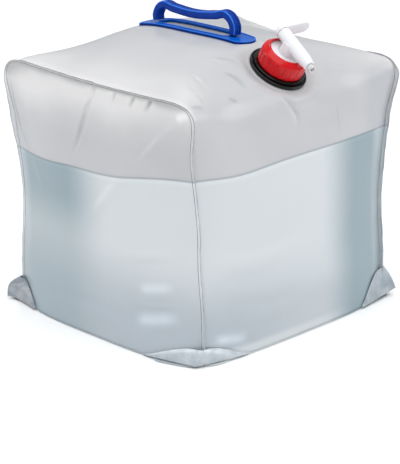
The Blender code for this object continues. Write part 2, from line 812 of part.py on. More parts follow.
def make_tap_body(swivel, barrel, material, collection, cutters):
    """Disc, stem and cross barrel in one moulding, bored through from the stem to the barrel's front end."""
    disc = [
        (0, BARREL_AXIS),
        (STEM_RADIUS, BARREL_AXIS),
        (STEM_RADIUS, DISC_TOP),
        (DISC_RADIUS - FITTING_EDGE, DISC_TOP),
        (DISC_RADIUS, DISC_TOP - FITTING_EDGE),
        (DISC_RADIUS, DISC_BOTTOM),
        (0, DISC_BOTTOM),
    ]
    body = turned("tap_body", disc, material, collection, swivel)
    shell = [
        (0, BARREL_FRONT),
        (BARREL_NOSE_RADIUS - FITTING_EDGE, BARREL_FRONT),
        (BARREL_NOSE_RADIUS, BARREL_FRONT - FITTING_EDGE),
        (BARREL_RADIUS, BARREL_FRONT - BARREL_NOSE),
        (BARREL_RADIUS, -BARREL_REAR),
        (0, -BARREL_REAR),
    ]
    tube = turned("barrel_shell", shell, material, cutters, barrel)
    plug_room = PLUG_FRONT + GAP
    bore = [
        (0, BARREL_FRONT + CUT_OVERRUN),
        (OUTLET_RADIUS + GAP, BARREL_FRONT + CUT_OVERRUN),
        (OUTLET_RADIUS + GAP, BARREL_FRONT - OUTLET_SOCKET),
        (OUTLET_BORE, BARREL_FRONT - OUTLET_SOCKET),
        (OUTLET_BORE, plug_room),
        (BARREL_BORE, plug_room),
        (BARREL_BORE, -BARREL_REAR - CUT_OVERRUN),
        (0, -BARREL_REAR - CUT_OVERRUN),
    ]
    room = turned("barrel_bore", bore, material, cutters, barrel, steps=SMALL_STEPS)
    stem = rod_bmesh(STEM_BORE, DISC_BOTTOM - CUT_OVERRUN, BARREL_AXIS)
    way_in = cutter_object("stem_bore_cutter", stem, cutters, swivel)
    for helper in (tube, room):
        helper.hide_render = True
        helper.display_type = "WIRE"
    boolean(body, "UNION", tube, "barrel")
    boolean(body, "DIFFERENCE", room, "barrel_bore")
    boolean(body, "DIFFERENCE", way_in, "stem_bore")
    return body


def make_tap_plug(barrel, material, collection, cutters):
    """The turning plug: two grooves for its seals, a bore to the front, a side port and the lever."""
    radius = BARREL_BORE - PLUG_CLEARANCE
    groove = radius - SEAL_DEPTH
    half_groove = SEAL_WIRE + PLUG_CLEARANCE
    rear = -BARREL_REAR - GAP
    profile = [(0, PLUG_FRONT), (radius, PLUG_FRONT)]
    for centre in (SEAL_FROM_CENTRE, -SEAL_FROM_CENTRE):
        profile += [
            (radius, centre + half_groove),
            (groove, centre + half_groove),
            (groove, centre - half_groove),
            (radius, centre - half_groove),
        ]
    profile += [
        (radius, rear),
        (LEVER_HEAD_RADIUS, rear),
        (LEVER_HEAD_RADIUS, rear - LEVER_HEAD + LEVER_EDGE),
        (LEVER_HEAD_RADIUS - LEVER_EDGE, rear - LEVER_HEAD),
        (0, rear - LEVER_HEAD),
    ]
    plug = turned("tap_plug", profile, material, collection, barrel, steps=SMALL_STEPS)
    lever = make_lever_blade(rear, barrel, cutters)
    boolean(plug, "UNION", lever, "lever")
    bore = rod_bmesh(PLUG_BORE, -PORT_RADIUS - PLUG_WALL, PLUG_FRONT + CUT_OVERRUN)
    port = rod_bmesh(PORT_RADIUS, 0, BARREL_BORE + CUT_OVERRUN)
    port.transform(Matrix.Rotation(-pi / 2, 4, "Y"))
    boolean(plug, "DIFFERENCE", cutter_object("plug_bore", bore, cutters, barrel), "plug_bore")
    boolean(plug, "DIFFERENCE", cutter_object("plug_port", port, cutters, barrel), "plug_port")
    return plug


def make_lever_blade(rear, barrel, cutters):
    """A flat blade with a round tip, square to the barrel."""
    curve = bpy.data.curves.new("lever_blade", "CURVE")
    curve.dimensions = "2D"
    curve.fill_mode = "BOTH"
    curve.extrude = LEVER_THICKNESS / 2
    half = LEVER_WIDTH / 2
    tip = LEVER_REACH - half
    points = [(0, -half), (tip, -half)]
    for i in range(1, LEVER_TIP_STEPS):
        angle = pi * i / LEVER_TIP_STEPS
        points.append((tip + half * sin(angle), -half * cos(angle)))
    points += [(tip, half), (0, half)]
    spline = curve.splines.new("POLY")
    spline.points.add(len(points) - 1)
    for point, (x, y) in zip(spline.points, points):
        point.co = (x, y, 0, 1)
    spline.use_cyclic_u = True
    blade = bpy.data.objects.new("lever_blade", curve_mesh(curve, None))
    blade.location.z = rear - LEVER_HEAD / 2
    blade.rotation_euler.z = LEVER_RISE
    blade.parent = barrel
    cutters.objects.link(blade)
    blade.hide_render = True
    blade.display_type = "WIRE"
    bevel(blade, LEVER_EDGE)
    return blade


def make_plug_seal(name, centre, barrel, material, collection):
    """A rubber ring in a groove of the plug."""
    ring = BARREL_BORE - GAP - SEAL_WIRE
    profile = []
    for i in range(SEAL_SIDES):
        angle = -2 * pi * i / SEAL_SIDES
        profile.append((ring + SEAL_WIRE * cos(angle), centre + SEAL_WIRE * sin(angle)))
    return turned(name, profile, material, collection, barrel, steps=SMALL_STEPS)


def make_tap_outlet(barrel, material, collection):
    """The narrow spout pushed into the barrel's front end."""
    back = BARREL_FRONT - OUTLET_SOCKET + GAP
    profile = ring_profile(OUTLET_BORE, OUTLET_RADIUS, back, BARREL_FRONT + OUTLET_REACH, FITTING_EDGE)
    return turned("tap_outlet", profile, material, collection, barrel, steps=SMALL_STEPS)


def stadium(length, width, share):
    """(x, y) on a long oval, its straight sides along Y, a share of the way round its direction angle."""
    angle = 2 * pi * share
    straight = (length - width) / 2
    shift = straight * max(min(2 * sin(angle), 1), -1)
    return width / 2 * cos(angle), width / 2 * sin(angle) + shift


def film_tree(film):
    """The film as built, for laying the handle on it."""
    bpy.context.view_layer.update()
    return BVHTree.FromObject(film, bpy.context.evaluated_depsgraph_get())


def film_top(tree, x, y):
    """The height of the film's outer face over a place."""
    above = Vector((x, y, CROWN_HEIGHT + BACK_RIGHT_LIFT + CUT_OVERRUN))
    return tree.ray_cast(above, Vector((0, 0, -1)))[0].z


def settle(bm, tree):
    """Raises a sheet's corners where the film's facets would come through between them."""
    for _ in range(SETTLE_ROUNDS):
        for part in list(bm.edges) + list(bm.faces):
            middle = sum((vertex.co for vertex in part.verts), Vector()) / len(part.verts)
            short = film_top(tree, middle.x, middle.y) + SEAT_GAP - middle.z
            for vertex in part.verts:
                vertex.co.z += max(short, 0)


def make_handle_plate(tree, material, collection):
    """A long flat oval with an open window, laid on the top film."""
    bm = bmesh.new()
    bmesh.ops.create_grid(bm, x_segments=PLATE_STEPS, y_segments=PLATE_RINGS, size=0.5)
    for vertex in bm.verts:
        share = (vertex.co.x + 0.5) % 1
        across = vertex.co.y + 0.5
        inner = Vector(stadium(WINDOW_LENGTH, WINDOW_WIDTH, share))
        outer = Vector(stadium(PLATE_LENGTH, PLATE_WIDTH, share))
        x, y = inner.lerp(outer, across)
        y += HANDLE_Y
        vertex.co = (x, y, film_top(tree, x, y) + SEAT_GAP)
    bmesh.ops.remove_doubles(bm, verts=bm.verts, dist=MERGE_DISTANCE)
    settle(bm, tree)
    plate = mesh_object("handle_base_plate", bm, material, collection)
    upright(plate)
    solidify(plate, PLATE_THICKNESS, offset=1)
    bevel(plate, PLATE_EDGE)
    shade(plate)
    return plate


def upright(obj):
    """Turns an open sheet's faces to look up."""
    bm = bmesh.new()
    bm.from_mesh(obj.data)
    if sum(face.normal.z for face in bm.faces) < 0:
        bmesh.ops.reverse_faces(bm, faces=bm.faces)
    bm.to_mesh(obj.data)
    bm.free()


def grip_section(collection):
    """The grip's rounded rectangular section, as the bevel shape of its path."""
    curve = bpy.data.curves.new("grip_section", "CURVE")
    curve.dimensions = "2D"
    half_x = GRIP_WIDTH / 2 - GRIP_CORNER
    half_y = GRIP_THICKNESS / 2 - GRIP_CORNER
    points = []
    for quarter, (sign_x, sign_y) in enumerate(((1, 1), (-1, 1), (-1, -1), (1, -1))):
        for i in range(3):
            angle = pi / 2 * (quarter + i / 2)
            points.append(
                (sign_x * half_x + GRIP_CORNER * cos(angle), sign_y * half_y + GRIP_CORNER * sin(angle))
            )
    spline = curve.splines.new("POLY")
    spline.points.add(len(points) - 1)
    for point, (x, y) in zip(spline.points, points):
        point.co = (x, y, 0, 1)
    spline.use_cyclic_u = True
    section = bpy.data.objects.new("grip_section", curve)
    collection.objects.link(section)
    section.hide_render = True
    return section


def make_handle_grip(tree, material, collection, cutters):
    """Two posts and a bar with a dip, swept in one piece."""
    half = GRIP_SPAN / 2
    foot = PLATE_THICKNESS + 2 * SEAT_GAP
    inner_face = half - GRIP_THICKNESS / 2
    post_height = {side: film_top(tree, 0, HANDLE_Y + side * inner_face) for side in (-1, 1)}
    top = film_top(tree, 0, HANDLE_Y) + GRIP_HEIGHT - GRIP_THICKNESS / 2
    curve = bpy.data.curves.new("handle_grip", "CURVE")
    curve.dimensions = "3D"
    curve.bevel_mode = "OBJECT"
    curve.bevel_object = grip_section(cutters)
    curve.use_fill_caps = True
    curve.resolution_u = GRIP_BEND_STEPS
    bend = 1 - GRIP_BEND / half
    hump = GRIP_DIP * GRIP_HUMP_DIP_SHARE
    shares = (-1, -1, -bend, -GRIP_HUMP_SHARE, 0, GRIP_HUMP_SHARE, bend, 1, 1)
    drops = (None, GRIP_BEND, 0, hump, GRIP_DIP, hump, 0, GRIP_BEND, None)
    spline = curve.splines.new("BEZIER")
    spline.bezier_points.add(len(shares) - 1)
    for point, share, drop in zip(spline.bezier_points, shares, drops):
        side = -1 if share < 0 else 1
        z = post_height[side] + foot if drop is None else top - drop
        point.co = (0, HANDLE_Y + share * half, z)
        point.handle_left_type = "AUTO"
        point.handle_right_type = "AUTO"
    for index in (0, -1):
        end = spline.bezier_points[index]
        end.handle_left_type = "VECTOR"
        end.handle_right_type = "VECTOR"
    grip = bpy.data.objects.new("handle_grip", curve_mesh(curve, material))
    collection.objects.link(grip)
    shade(grip)
    return grip


def main():
    clear_scene()
    parts = new_collection("collapsible_water_carrier")
    cutters = new_collection("cutters")
    film = clear_film()
    neck = make_empty("neck_axis", parts, location=NECK_PLACE, rotation=(NECK_TILT, 0, 0))
    swivel = make_empty("tap_swivel_axis", parts, neck, rotation=(0, 0, TAP_SWIVEL))
    barrel = make_empty("barrel_axis", parts, swivel, (0, 0, BARREL_AXIS), (pi / 2, 0, 0))
    wrap = make_wrap_film(film, parts, cutters, neck)
    make_end_film(-1, film, parts)
    make_end_film(1, film, parts)
    make_base_film(film, parts)
    core = core_bmesh(BASE_TOP - CUT_OVERRUN, BASE_TOP + TAB_HEIGHT + CUT_OVERRUN, FILM + TAB_CLEARANCE)
    core_cutter = cutter_object("bag_core_cutter", core, cutters)
    folds = tab_film()
    for face, (name, (sign_x, sign_y)) in enumerate(CORNERS.items()):
        make_corner_tab(face, name, sign_x, sign_y, core_cutter, cutters, folds, parts)
    make_water(water(), parts)
    tree = film_tree(wrap)
    make_handle_plate(tree, blue_plate_plastic(), parts)
    make_handle_grip(tree, blue_grip_plastic(), parts, cutters)
    make_neck_gasket(neck, black_rubber(), parts)
    make_neck_fitment(neck, black_plastic(), parts, cutters)
    make_inner_nut(neck, black_plastic(), parts)
    make_screw_ring(neck, red_plastic(), parts, cutters)
    make_washer(neck, grey_rubber(), parts)
    white = white_plastic()
    rubber = black_rubber()
    make_tap_body(swivel, barrel, white, parts, cutters)
    make_tap_plug(barrel, white, parts, cutters)
    make_plug_seal("plug_seal_front", SEAL_FROM_CENTRE, barrel, rubber, parts)
    make_plug_seal("plug_seal_rear", -SEAL_FROM_CENTRE, barrel, rubber, parts)
    make_tap_outlet(barrel, white, parts)


main()
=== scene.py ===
"""Looks of a collapsible water carrier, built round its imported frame. Metres, +Z up."""

from math import cos, pi, radians, sin

import bmesh
import bpy
import numpy as np
from mathutils import Matrix, Vector, noise


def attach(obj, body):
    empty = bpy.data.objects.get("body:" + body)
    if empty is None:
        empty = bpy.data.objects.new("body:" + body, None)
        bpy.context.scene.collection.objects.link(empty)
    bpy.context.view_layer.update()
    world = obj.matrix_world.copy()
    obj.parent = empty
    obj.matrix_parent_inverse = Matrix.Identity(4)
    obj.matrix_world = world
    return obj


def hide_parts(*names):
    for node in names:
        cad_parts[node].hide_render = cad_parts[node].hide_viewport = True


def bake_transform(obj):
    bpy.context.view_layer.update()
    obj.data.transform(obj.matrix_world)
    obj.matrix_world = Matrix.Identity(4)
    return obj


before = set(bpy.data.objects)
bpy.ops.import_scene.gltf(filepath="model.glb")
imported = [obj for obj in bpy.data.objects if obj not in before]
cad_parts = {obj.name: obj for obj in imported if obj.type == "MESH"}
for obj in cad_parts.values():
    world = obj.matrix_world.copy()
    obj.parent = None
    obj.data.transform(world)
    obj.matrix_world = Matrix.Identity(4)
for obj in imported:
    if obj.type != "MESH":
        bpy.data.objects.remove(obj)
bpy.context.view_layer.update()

# The bag's shape, as in the solids
BASE_TOP = 0.0015
BAG_WIDTH = 0.2756
BAG_DEPTH = 0.275
SEAM_HEIGHT = 0.260
CROWN_RISE = 0.034
SHOULDER_HEIGHT = 0.120
FRONT_LEFT_LIFT = 0.003
FRONT_RIGHT_LIFT = 0.009
BACK_RIGHT_LIFT = 0.031
BACK_LEFT_LIFT = 0.0125
LIFT_POWER = 2.2
WIDTH_FLARE = 0.0147
WIDTH_FLARE_SPAN = 0.120, 0.255
DEPTH_FLARE = 0.0145
DEPTH_FLARE_SPAN = 0.200, 0.270
WAIST = 0.0052
WAIST_SPAN = 0.040, 0.110
FACE_BULGE = 0.016
END_BULGE = 0.016
BULGE_RISE = 0.060
FACE_FOOT = 0.012
END_FOOT = 0.022
FOOT_FADE = 0.060
FOOT_POWER = 4
HEM = 0.0045
TAB_RUN = 0.046
MIDDLE_ROUNDNESS = 3.2
SEAM_ROUNDNESS = 11.0
SEAM_PINCH_POWER = 6
BELLY_POWER = 4
CORNER_CROWDING = 0.35
WALL_TURN_SHARE = 0.45
WALL_SHARE = 0.125

# The neck's frame, and the sizes of the plate, the grip and the ring
NECK_TILT = radians(32.5)
NECK_PLACE = Vector((0, -0.107202, 0.271164))
NECK_AXIS = Vector((0, -sin(NECK_TILT), cos(NECK_TILT)))
NECK_HOLE = 0.0208
SEAT_RADIUS = 0.033
SEAT_FADE = 0.020
NECK_FRAME = Matrix.Translation(NECK_PLACE) @ Matrix.Rotation(NECK_TILT, 4, "X")
HANDLE_Y = 0.0090
PLATE_LENGTH = 0.160
PLATE_WIDTH = 0.036
PLATE_RIM = 0.0023
PLATE_LIFT = 0.0007
PLATE_FLATTENING = 0.97
WINDOW_LENGTH = 0.106
WINDOW_WIDTH = 0.020
HALF_FILM = 0.0004
GRIP_REACH = 0.0570
GRIP_WIDTH = 0.0120
GRIP_THICKNESS = 0.0088
GRIP_ROUND = 0.0026
GRIP_HEIGHT = 0.0255
GRIP_FOOT = 0.0040
GRIP_DROP = 0.0045
GRIP_BEND = 0.0101
RING_RADIUS = 0.0243
RING_RIBS = 20
RIB_HEIGHT = 0.0006

# The scene's own film, hem and folds, and the water's surface
SKIN = 0.0005
SHOWN_HEM = 0.0010
FOLD_SKIN = 0.0007
FOLD_FLOOR = 0.0022
WATER_INSET = 0.0014
WATER_LEVEL = 0.184
WATER_SLOPE_X = 0.014
WATER_SLOPE_Y = -0.055
# Where the water line dips: depth, place along the face and reach, on the left end and on the front
LEFT_DIPS = [(0.008, -0.020, 0.065), (0.0058, 0.080, 0.045)]
FRONT_DIPS = [(0.0048, -0.088, 0.042)]


# ---- shape of the bag, on numpy arrays


def smooth(value, low, high):
    share = np.clip((value - low) / (high - low), 0, 1)
    return share * share * (3 - 2 * share)


def bell(value, reach):
    return np.exp(-((value / reach) ** 2))


def half_width(z):
    return BAG_WIDTH / 2 + WIDTH_FLARE * smooth(z, *WIDTH_FLARE_SPAN)


def foot_swell(share, z):
    return (1 - np.abs(share) ** FOOT_POWER) * (1 - smooth(z, 0, FOOT_FADE))


def half_depth(u, z):
    waist = WAIST * smooth(z, *WAIST_SPAN)
    flare = DEPTH_FLARE * smooth(z, *DEPTH_FLARE_SPAN)
    bulge = FACE_BULGE * (1 - u * u) * smooth(z, 0, BULGE_RISE) + FACE_FOOT * foot_swell(u, z)
    return BAG_DEPTH / 2 - waist + flare + bulge


def end_reach(share, z):
    belly = (1 - share * share) * smooth(z, 0, BULGE_RISE) * np.maximum(1 - (z / SEAM_HEIGHT) ** BELLY_POWER, 0)
    return END_BULGE * belly + END_FOOT * foot_swell(share, z)


def top_height(u):
    return SEAM_HEIGHT + CROWN_RISE * (1 - u * u)


def roundness(u):
    return MIDDLE_ROUNDNESS + (SEAM_ROUNDNESS - MIDDLE_ROUNDNESS) * np.abs(u) ** SEAM_PINCH_POWER


def arc_place(u, angle):
    power = roundness(u)
    c, s = np.abs(np.cos(angle)), np.abs(np.sin(angle))
    reach = (c**power + s**power) ** (-1 / power)
    z = SHOULDER_HEIGHT + (top_height(u) - SHOULDER_HEIGHT) * reach * np.sin(angle)
    return half_depth(u, z) * reach * np.cos(angle), z


def crowded(angle):
    return angle + CORNER_CROWDING / 4 * np.sin(4 * angle)


def wrap_profile(u, share):
    side = np.where(share < 0.5, -1.0, 1.0)
    climb = np.clip(np.minimum(share, 1 - share) / WALL_SHARE, 0, 1)
    z_wall = BASE_TOP + (SHOULDER_HEIGHT - BASE_TOP) * climb
    turn = np.clip((share - WALL_SHARE) / (1 - 2 * WALL_SHARE), 0, 1)
    y_arc, z_arc = arc_place(u, crowded(pi * (1 - turn)))
    on_wall = (share < WALL_SHARE) | (share > 1 - WALL_SHARE)
    return np.where(on_wall, side * half_depth(u, z_wall), y_arc), np.where(on_wall, z_wall, z_arc)


def corner_lift(x, y, z):
    right = np.clip(x / BAG_WIDTH + 0.5, 0, 1)
    back = np.clip(y / BAG_DEPTH + 0.5, 0, 1)
    level = np.maximum(z, 0) / SEAM_HEIGHT
    lift = FRONT_LEFT_LIFT * ((1 - right) * (1 - back) * level) ** LIFT_POWER
    lift += FRONT_RIGHT_LIFT * (right * (1 - back) * level) ** LIFT_POWER
    lift += BACK_RIGHT_LIFT * (right * back * level) ** LIFT_POWER
    return lift + BACK_LEFT_LIFT * ((1 - right) * back * level) ** LIFT_POWER


def neck_polar(points):
    """Each point's distance from the neck's axis, and its height along it."""
    away = points - np.array(NECK_PLACE)
    height = away @ np.array(NECK_AXIS)
    return np.linalg.norm(away - height[..., None] * np.array(NECK_AXIS), axis=-1), height


def seated(points):
    radius, height = neck_polar(points)
    pull = (1 - smooth(radius, SEAT_RADIUS, SEAT_RADIUS + SEAT_FADE)) * (np.abs(height) <= SEAT_RADIUS)
    return points - np.array(NECK_AXIS) * (height * pull)[..., None]


def lifted(x, y, z):
    return seated(np.stack([x, y, z + corner_lift(x, y, z)], -1))


def wrap_points(u, share):
    y, z = wrap_profile(u, share)
    return lifted(u * half_width(z), y, z)


def film_height(x, y):
    u = x / half_width(SEAM_HEIGHT)
    power = roundness(u)
    inset = (1 - (np.abs(y) / half_depth(u, SEAM_HEIGHT)) ** power) ** (1 / power)
    z = SHOULDER_HEIGHT + (top_height(u) - SHOULDER_HEIGHT) * inset
    return z + corner_lift(x, y, z)


def wall_y(u, z):
    """The wall's half depth at a height, drawn in over the shoulder."""
    power = roundness(u)
    share = np.clip((z - SHOULDER_HEIGHT) / (top_height(u) - SHOULDER_HEIGHT), 0, 1)
    return half_depth(u, z) * (1 - share**power) ** (1 / power)


def end_edge(share):
    z = BASE_TOP + (SHOULDER_HEIGHT - BASE_TOP) * np.clip(share / WALL_TURN_SHARE, 0, 1)
    turn = np.clip((share - WALL_TURN_SHARE) / (1 - WALL_TURN_SHARE), 0, 1)
    one = np.ones_like(share)
    y_arc, z_arc = arc_place(one, crowded(pi - pi / 4 * turn))
    low = share < WALL_TURN_SHARE
    return np.stack([np.where(low, -half_depth(one, z), y_arc), np.where(low, z, z_arc)], -1)


def end_profile(v, w):
    """(y, z) inside the end panel's outline, filled in from its four edges."""
    one = np.ones_like(v)
    left = end_edge(w)
    right = left * [-1, 1]
    top = np.stack(arc_place(one, crowded(pi * (3 - 2 * v) / 4)), -1)
    low = end_edge(0 * v)
    high = end_edge(one)
    bottom = np.stack([low[..., 0] * (1 - 2 * v), low[..., 1]], -1)
    v, w = v[..., None], w[..., None]
    corners = (1 - w) * ((1 - v) * low + v * low * [-1, 1]) + w * ((1 - v) * high + v * high * [-1, 1])
    place = (1 - w) * bottom + w * top + (1 - v) * left + v * right - corners
    return place[..., 0], place[..., 1]


def end_points(side, v, w):
    y, z = end_profile(v, w)
    rim = half_width(z)
    x = side * (rim + end_reach(y / half_depth(1, z), z))
    return np.stack([x, y, z + corner_lift(side * rim, y, z)], -1)


def water_height(x, y):
    level = WATER_LEVEL + WATER_SLOPE_X * x + WATER_SLOPE_Y * y
    for depth, place, reach in LEFT_DIPS:
        level = level - depth * bell(y - place, reach) * smooth(-x, 0.08, 0.15)
    for depth, place, reach in FRONT_DIPS:
        level = level - depth * bell(x - place, reach) * smooth(-y, 0.08, 0.135)
    return level


def stadium(length, width, share):
    angle = 2 * pi * share
    shift = (length - width) / 2 * np.clip(2 * np.sin(angle), -1, 1)
    return np.stack([width / 2 * np.cos(angle), width / 2 * np.sin(angle) + shift], -1)


# ---- meshes


def quads_of(rows, cols, close_rows=False, close_cols=False):
    r, c = np.meshgrid(np.arange(rows - (not close_rows)), np.arange(cols - (not close_cols)), indexing="ij")
    r2, c2 = (r + 1) % rows, (c + 1) % cols
    return np.stack([r * cols + c, r * cols + c2, r2 * cols + c2, r2 * cols + c], -1).reshape(-1, 4)


def capped(grid, low, high):
    """Points and faces of a column of closed rings, its two ends closed by fans to the heights low and high."""
    rows, cols = grid.shape[:2]
    points = np.concatenate([grid.reshape(-1, 3), [[0, 0, low], [0, 0, high]]])
    faces = quads_of(rows, cols, close_cols=True).tolist()
    last = (rows - 1) * cols
    for c in range(cols):
        d = (c + 1) % cols
        faces += [(rows * cols, d, c), (rows * cols + 1, last + c, last + d)]
    return points, faces


def new_object(name, data):
    item = bpy.data.objects.new(name, data)
    bpy.context.scene.collection.objects.link(item)
    return item


def mesh_piece(name, points, faces, material, turn=None):
    mesh = bpy.data.meshes.new(name)
    mesh.from_pydata(np.asarray(points).reshape(-1, 3).tolist(), [], [list(map(int, f)) for f in faces])
    mesh.validate()
    if turn is not None:
        mesh.transform(turn)
    bm = bmesh.new()
    bm.from_mesh(mesh)
    bmesh.ops.recalc_face_normals(bm, faces=bm.faces)
    bm.to_mesh(mesh)
    bm.free()
    mesh.shade_smooth()
    mesh.materials.append(material)
    return new_object(name, mesh)


def normals_of(grid):
    n = np.cross(np.gradient(grid, axis=1), np.gradient(grid, axis=0))
    return n / np.maximum(np.linalg.norm(n, axis=2, keepdims=True), 1e-12)


def sheet_piece(name, grid, thickness, material, hole=None):
    """A closed sheet from a grid of places on its middle; hole marks the grid's quads that are left out."""
    rows, cols = grid.shape[:2]
    n = normals_of(grid)
    points = np.concatenate([(grid + side * n * thickness / 2).reshape(-1, 3) for side in (1, -1)])
    quads = quads_of(rows, cols)
    if hole is not None:
        centre = grid.reshape(-1, 3)[quads].mean(axis=1)
        quads = quads[~hole(centre)]
    count = rows * cols
    edges = dict.fromkeys((a, b) for quad in quads for a, b in zip(quad, np.roll(quad, -1)))
    rims = [(a, b) for a, b in edges if (b, a) not in edges]
    sides = [(a, a + count, b + count, b) for a, b in rims]
    faces = np.concatenate([quads, quads[:, ::-1] + count, np.array(sides)])
    return mesh_piece(name, points, faces, material)


def toned(piece, row_length, looks):
    """Gives whole rows of a piece's faces a look of their own."""
    for look in dict.fromkeys(looks.values()):
        piece.data.materials.append(look)
    for polygon in piece.data.polygons:
        look = looks.get(polygon.index // row_length)
        if look is not None:
            polygon.material_index = piece.data.materials.find(look.name)


def along_path(points, path):
    """For each straight run of a path: the points' distance from it, and the share of the path passed there."""
    path = np.array(path) / 10000
    lengths = [np.linalg.norm(b - a) for a, b in zip(path, path[1:])]
    done = 0.0
    for a, b, length in zip(path, path[1:], lengths):
        direction = (b - a) / length
        run = np.clip((points - a) @ direction, 0, length)
        yield np.linalg.norm(points - a - run[..., None] * direction, axis=-1), (done + run) / sum(lengths)
        done += length


def crease_lift(points, path, width, depth):
    """How far each point sinks into one crease along a path of places, with a soft ridge on both sides."""
    best = np.full(points.shape[:-1], np.inf)
    along = np.zeros(points.shape[:-1])
    for distance, share in along_path(points, path):
        nearer = distance < best
        best = np.where(nearer, distance, best)
        along = np.where(nearer, share, along)
    taper = np.sin(pi * np.clip(0.08 + 0.92 * along, 0, 1)) ** 0.7
    away = best / (width / 10000)
    return depth / 10000 * taper * (0.45 * bell(away, 2.4) - bell(away, 1))


def stroke_tone(points, path, width, tone):
    """A soft painted line along a path: a highlight where the tone is above 0, shade where it is below, faint at both
    ends.
    """
    result = np.zeros(len(points))
    for distance, share in along_path(points, path):
        fade = smooth(share, 0, 0.30) * (1 - smooth(share, 0.60, 1))
        here = tone * bell(distance, width / 10000) * fade
        result = np.where(np.abs(here) > np.abs(result), here, result)
    return result


def puff_lift(points, centre, along, length, width, height):
    """How far each point stands out on a long soft swelling."""
    length, width, height = np.array([length, width, height]) / 10000
    away = points - np.array(centre) / 10000
    along = np.array(along) / np.linalg.norm(along)
    run = away @ along
    off = np.linalg.norm(away - run[..., None] * along, axis=-1)
    return height * np.exp(-((run / length) ** 2) / 2 - (off / width) ** 2 / 2)


def waves(points, size, seed):
    """Smooth noise from -1 to 1, with its waves about this size."""
    flat = points.reshape(-1, 3) / size + seed
    return np.array([noise.noise(Vector(p)) for p in flat]).reshape(points.shape[:-1])


def paint(piece):
    """Stores where each vertex is at rest, its height over the water line and the tones of the film there, painted
    light and shade among them.
    """
    places = np.empty(len(piece.data.vertices) * 3)
    piece.data.vertices.foreach_get("co", places)
    places = places.reshape(-1, 3)
    layer = piece.data.attributes.new("rest", "FLOAT_VECTOR", "POINT")
    layer.data.foreach_set("vector", places.ravel())
    for name, values in film_tones(places).items():
        layer = piece.data.attributes.new(name, "FLOAT", "POINT")
        layer.data.foreach_set("value", values)


# ---- materials


def material_of(name, colour, roughness, **sockets):
    material = bpy.data.materials.new(name)
    material.use_nodes = True
    shader = material.node_tree.nodes["Principled BSDF"]
    shader.inputs["Base Color"].default_value = (*colour, 1)
    shader.inputs["Roughness"].default_value = roughness
    for socket, value in sockets.items():
        shader.inputs[socket.replace("_", " ")].default_value = value
    return material, shader


def add_node(material, kind, **values):
    node = material.node_tree.nodes.new("ShaderNode" + kind)
    for key, value in values.items():
        if key in node.inputs:
            node.inputs[key].default_value = value
        else:
            setattr(node, key, value)
    return node


def link(source, target):
    source.id_data.links.new(source, target)


def field_of(material, name):
    """A value that paint() stored on the piece's vertices."""
    return add_node(material, "Attribute", attribute_name=name).outputs["Fac"]


def place_of(material, painted):
    if painted:
        return add_node(material, "Attribute", attribute_name="rest").outputs["Vector"]
    return add_node(material, "TexCoord").outputs["Object"]


def noise_of(material, scale, detail, roughness=0.5, painted=False):
    node = add_node(material, "TexNoise", Scale=scale, Detail=detail, Roughness=roughness)
    link(place_of(material, painted), node.inputs["Vector"])
    return node.outputs["Fac"]


def ramp_of(source, stops):
    node = source.id_data.nodes.new("ShaderNodeValToRGB")
    ramp = node.color_ramp
    while len(ramp.elements) < len(stops):
        ramp.elements.new(0.5)
    for element, (place, colour) in zip(ramp.elements, stops):
        element.position = place
        element.color = (*colour, 1)
    link(source, node.inputs["Fac"])
    return node.outputs["Color"]


def range_of(source, low, high, to_low, to_high):
    node = source.id_data.nodes.new("ShaderNodeMapRange")
    for socket, value in zip(("From Min", "From Max", "To Min", "To Max"), (low, high, to_low, to_high)):
        node.inputs[socket].default_value = value
    link(source, node.inputs["Value"])
    return node.outputs["Result"]


def sum_of(material, *sources):
    total = sources[0]
    for source in sources[1:]:
        node = add_node(material, "Math", operation="ADD")
        link(total, node.inputs[0])
        link(source, node.inputs[1])
        total = node.outputs[0]
    return total


def mixed(material, share, low, high, blend="MIX"):
    """Colour low where share is 0 and high where it is 1. Both, and share, may be values or sockets."""
    node = add_node(material, "Mix", data_type="RGBA", blend_type=blend)
    colours = [socket for socket in node.inputs if socket.type == "RGBA"]
    for value, socket in ((share, node.inputs["Factor"]), (low, colours[0]), (high, colours[1])):
        if isinstance(value, bpy.types.NodeSocket):
            link(value, socket)
        else:
            socket.default_value = value if isinstance(value, float) else (*value, 1)
    return next(socket for socket in node.outputs if socket.type == "RGBA")


def bump_of(material, shader, source, strength, distance):
    node = add_node(material, "Bump", Strength=strength, Distance=distance)
    link(source, node.inputs["Height"])
    link(node.outputs["Normal"], shader.inputs["Normal"])


def moulded(name, colour, roughness, variation=0.08, **sockets):
    """Injection-moulded plastic: slight colour drift, uneven gloss and a fine grain."""
    material, shader = material_of(name, colour, roughness, **sockets)
    darker = tuple(c * (1 - variation) for c in colour)
    lighter = tuple(min(c * (1 + variation) + 0.002, 1) for c in colour)
    drift = ramp_of(noise_of(material, 60, 2), [(0.3, darker), (0.7, lighter)])
    link(drift, shader.inputs["Base Color"])
    gloss = noise_of(material, 220, 4, 0.6)
    link(range_of(gloss, 0.3, 0.7, roughness * 0.8, roughness * 1.25), shader.inputs["Roughness"])
    bump_of(material, shader, noise_of(material, 900, 2), 0.35, 0.00004)
    return material


def coated(level, weight, roughness):
    return {"Specular_IOR_Level": level, "Coat_Weight": weight, "Coat_Roughness": roughness}


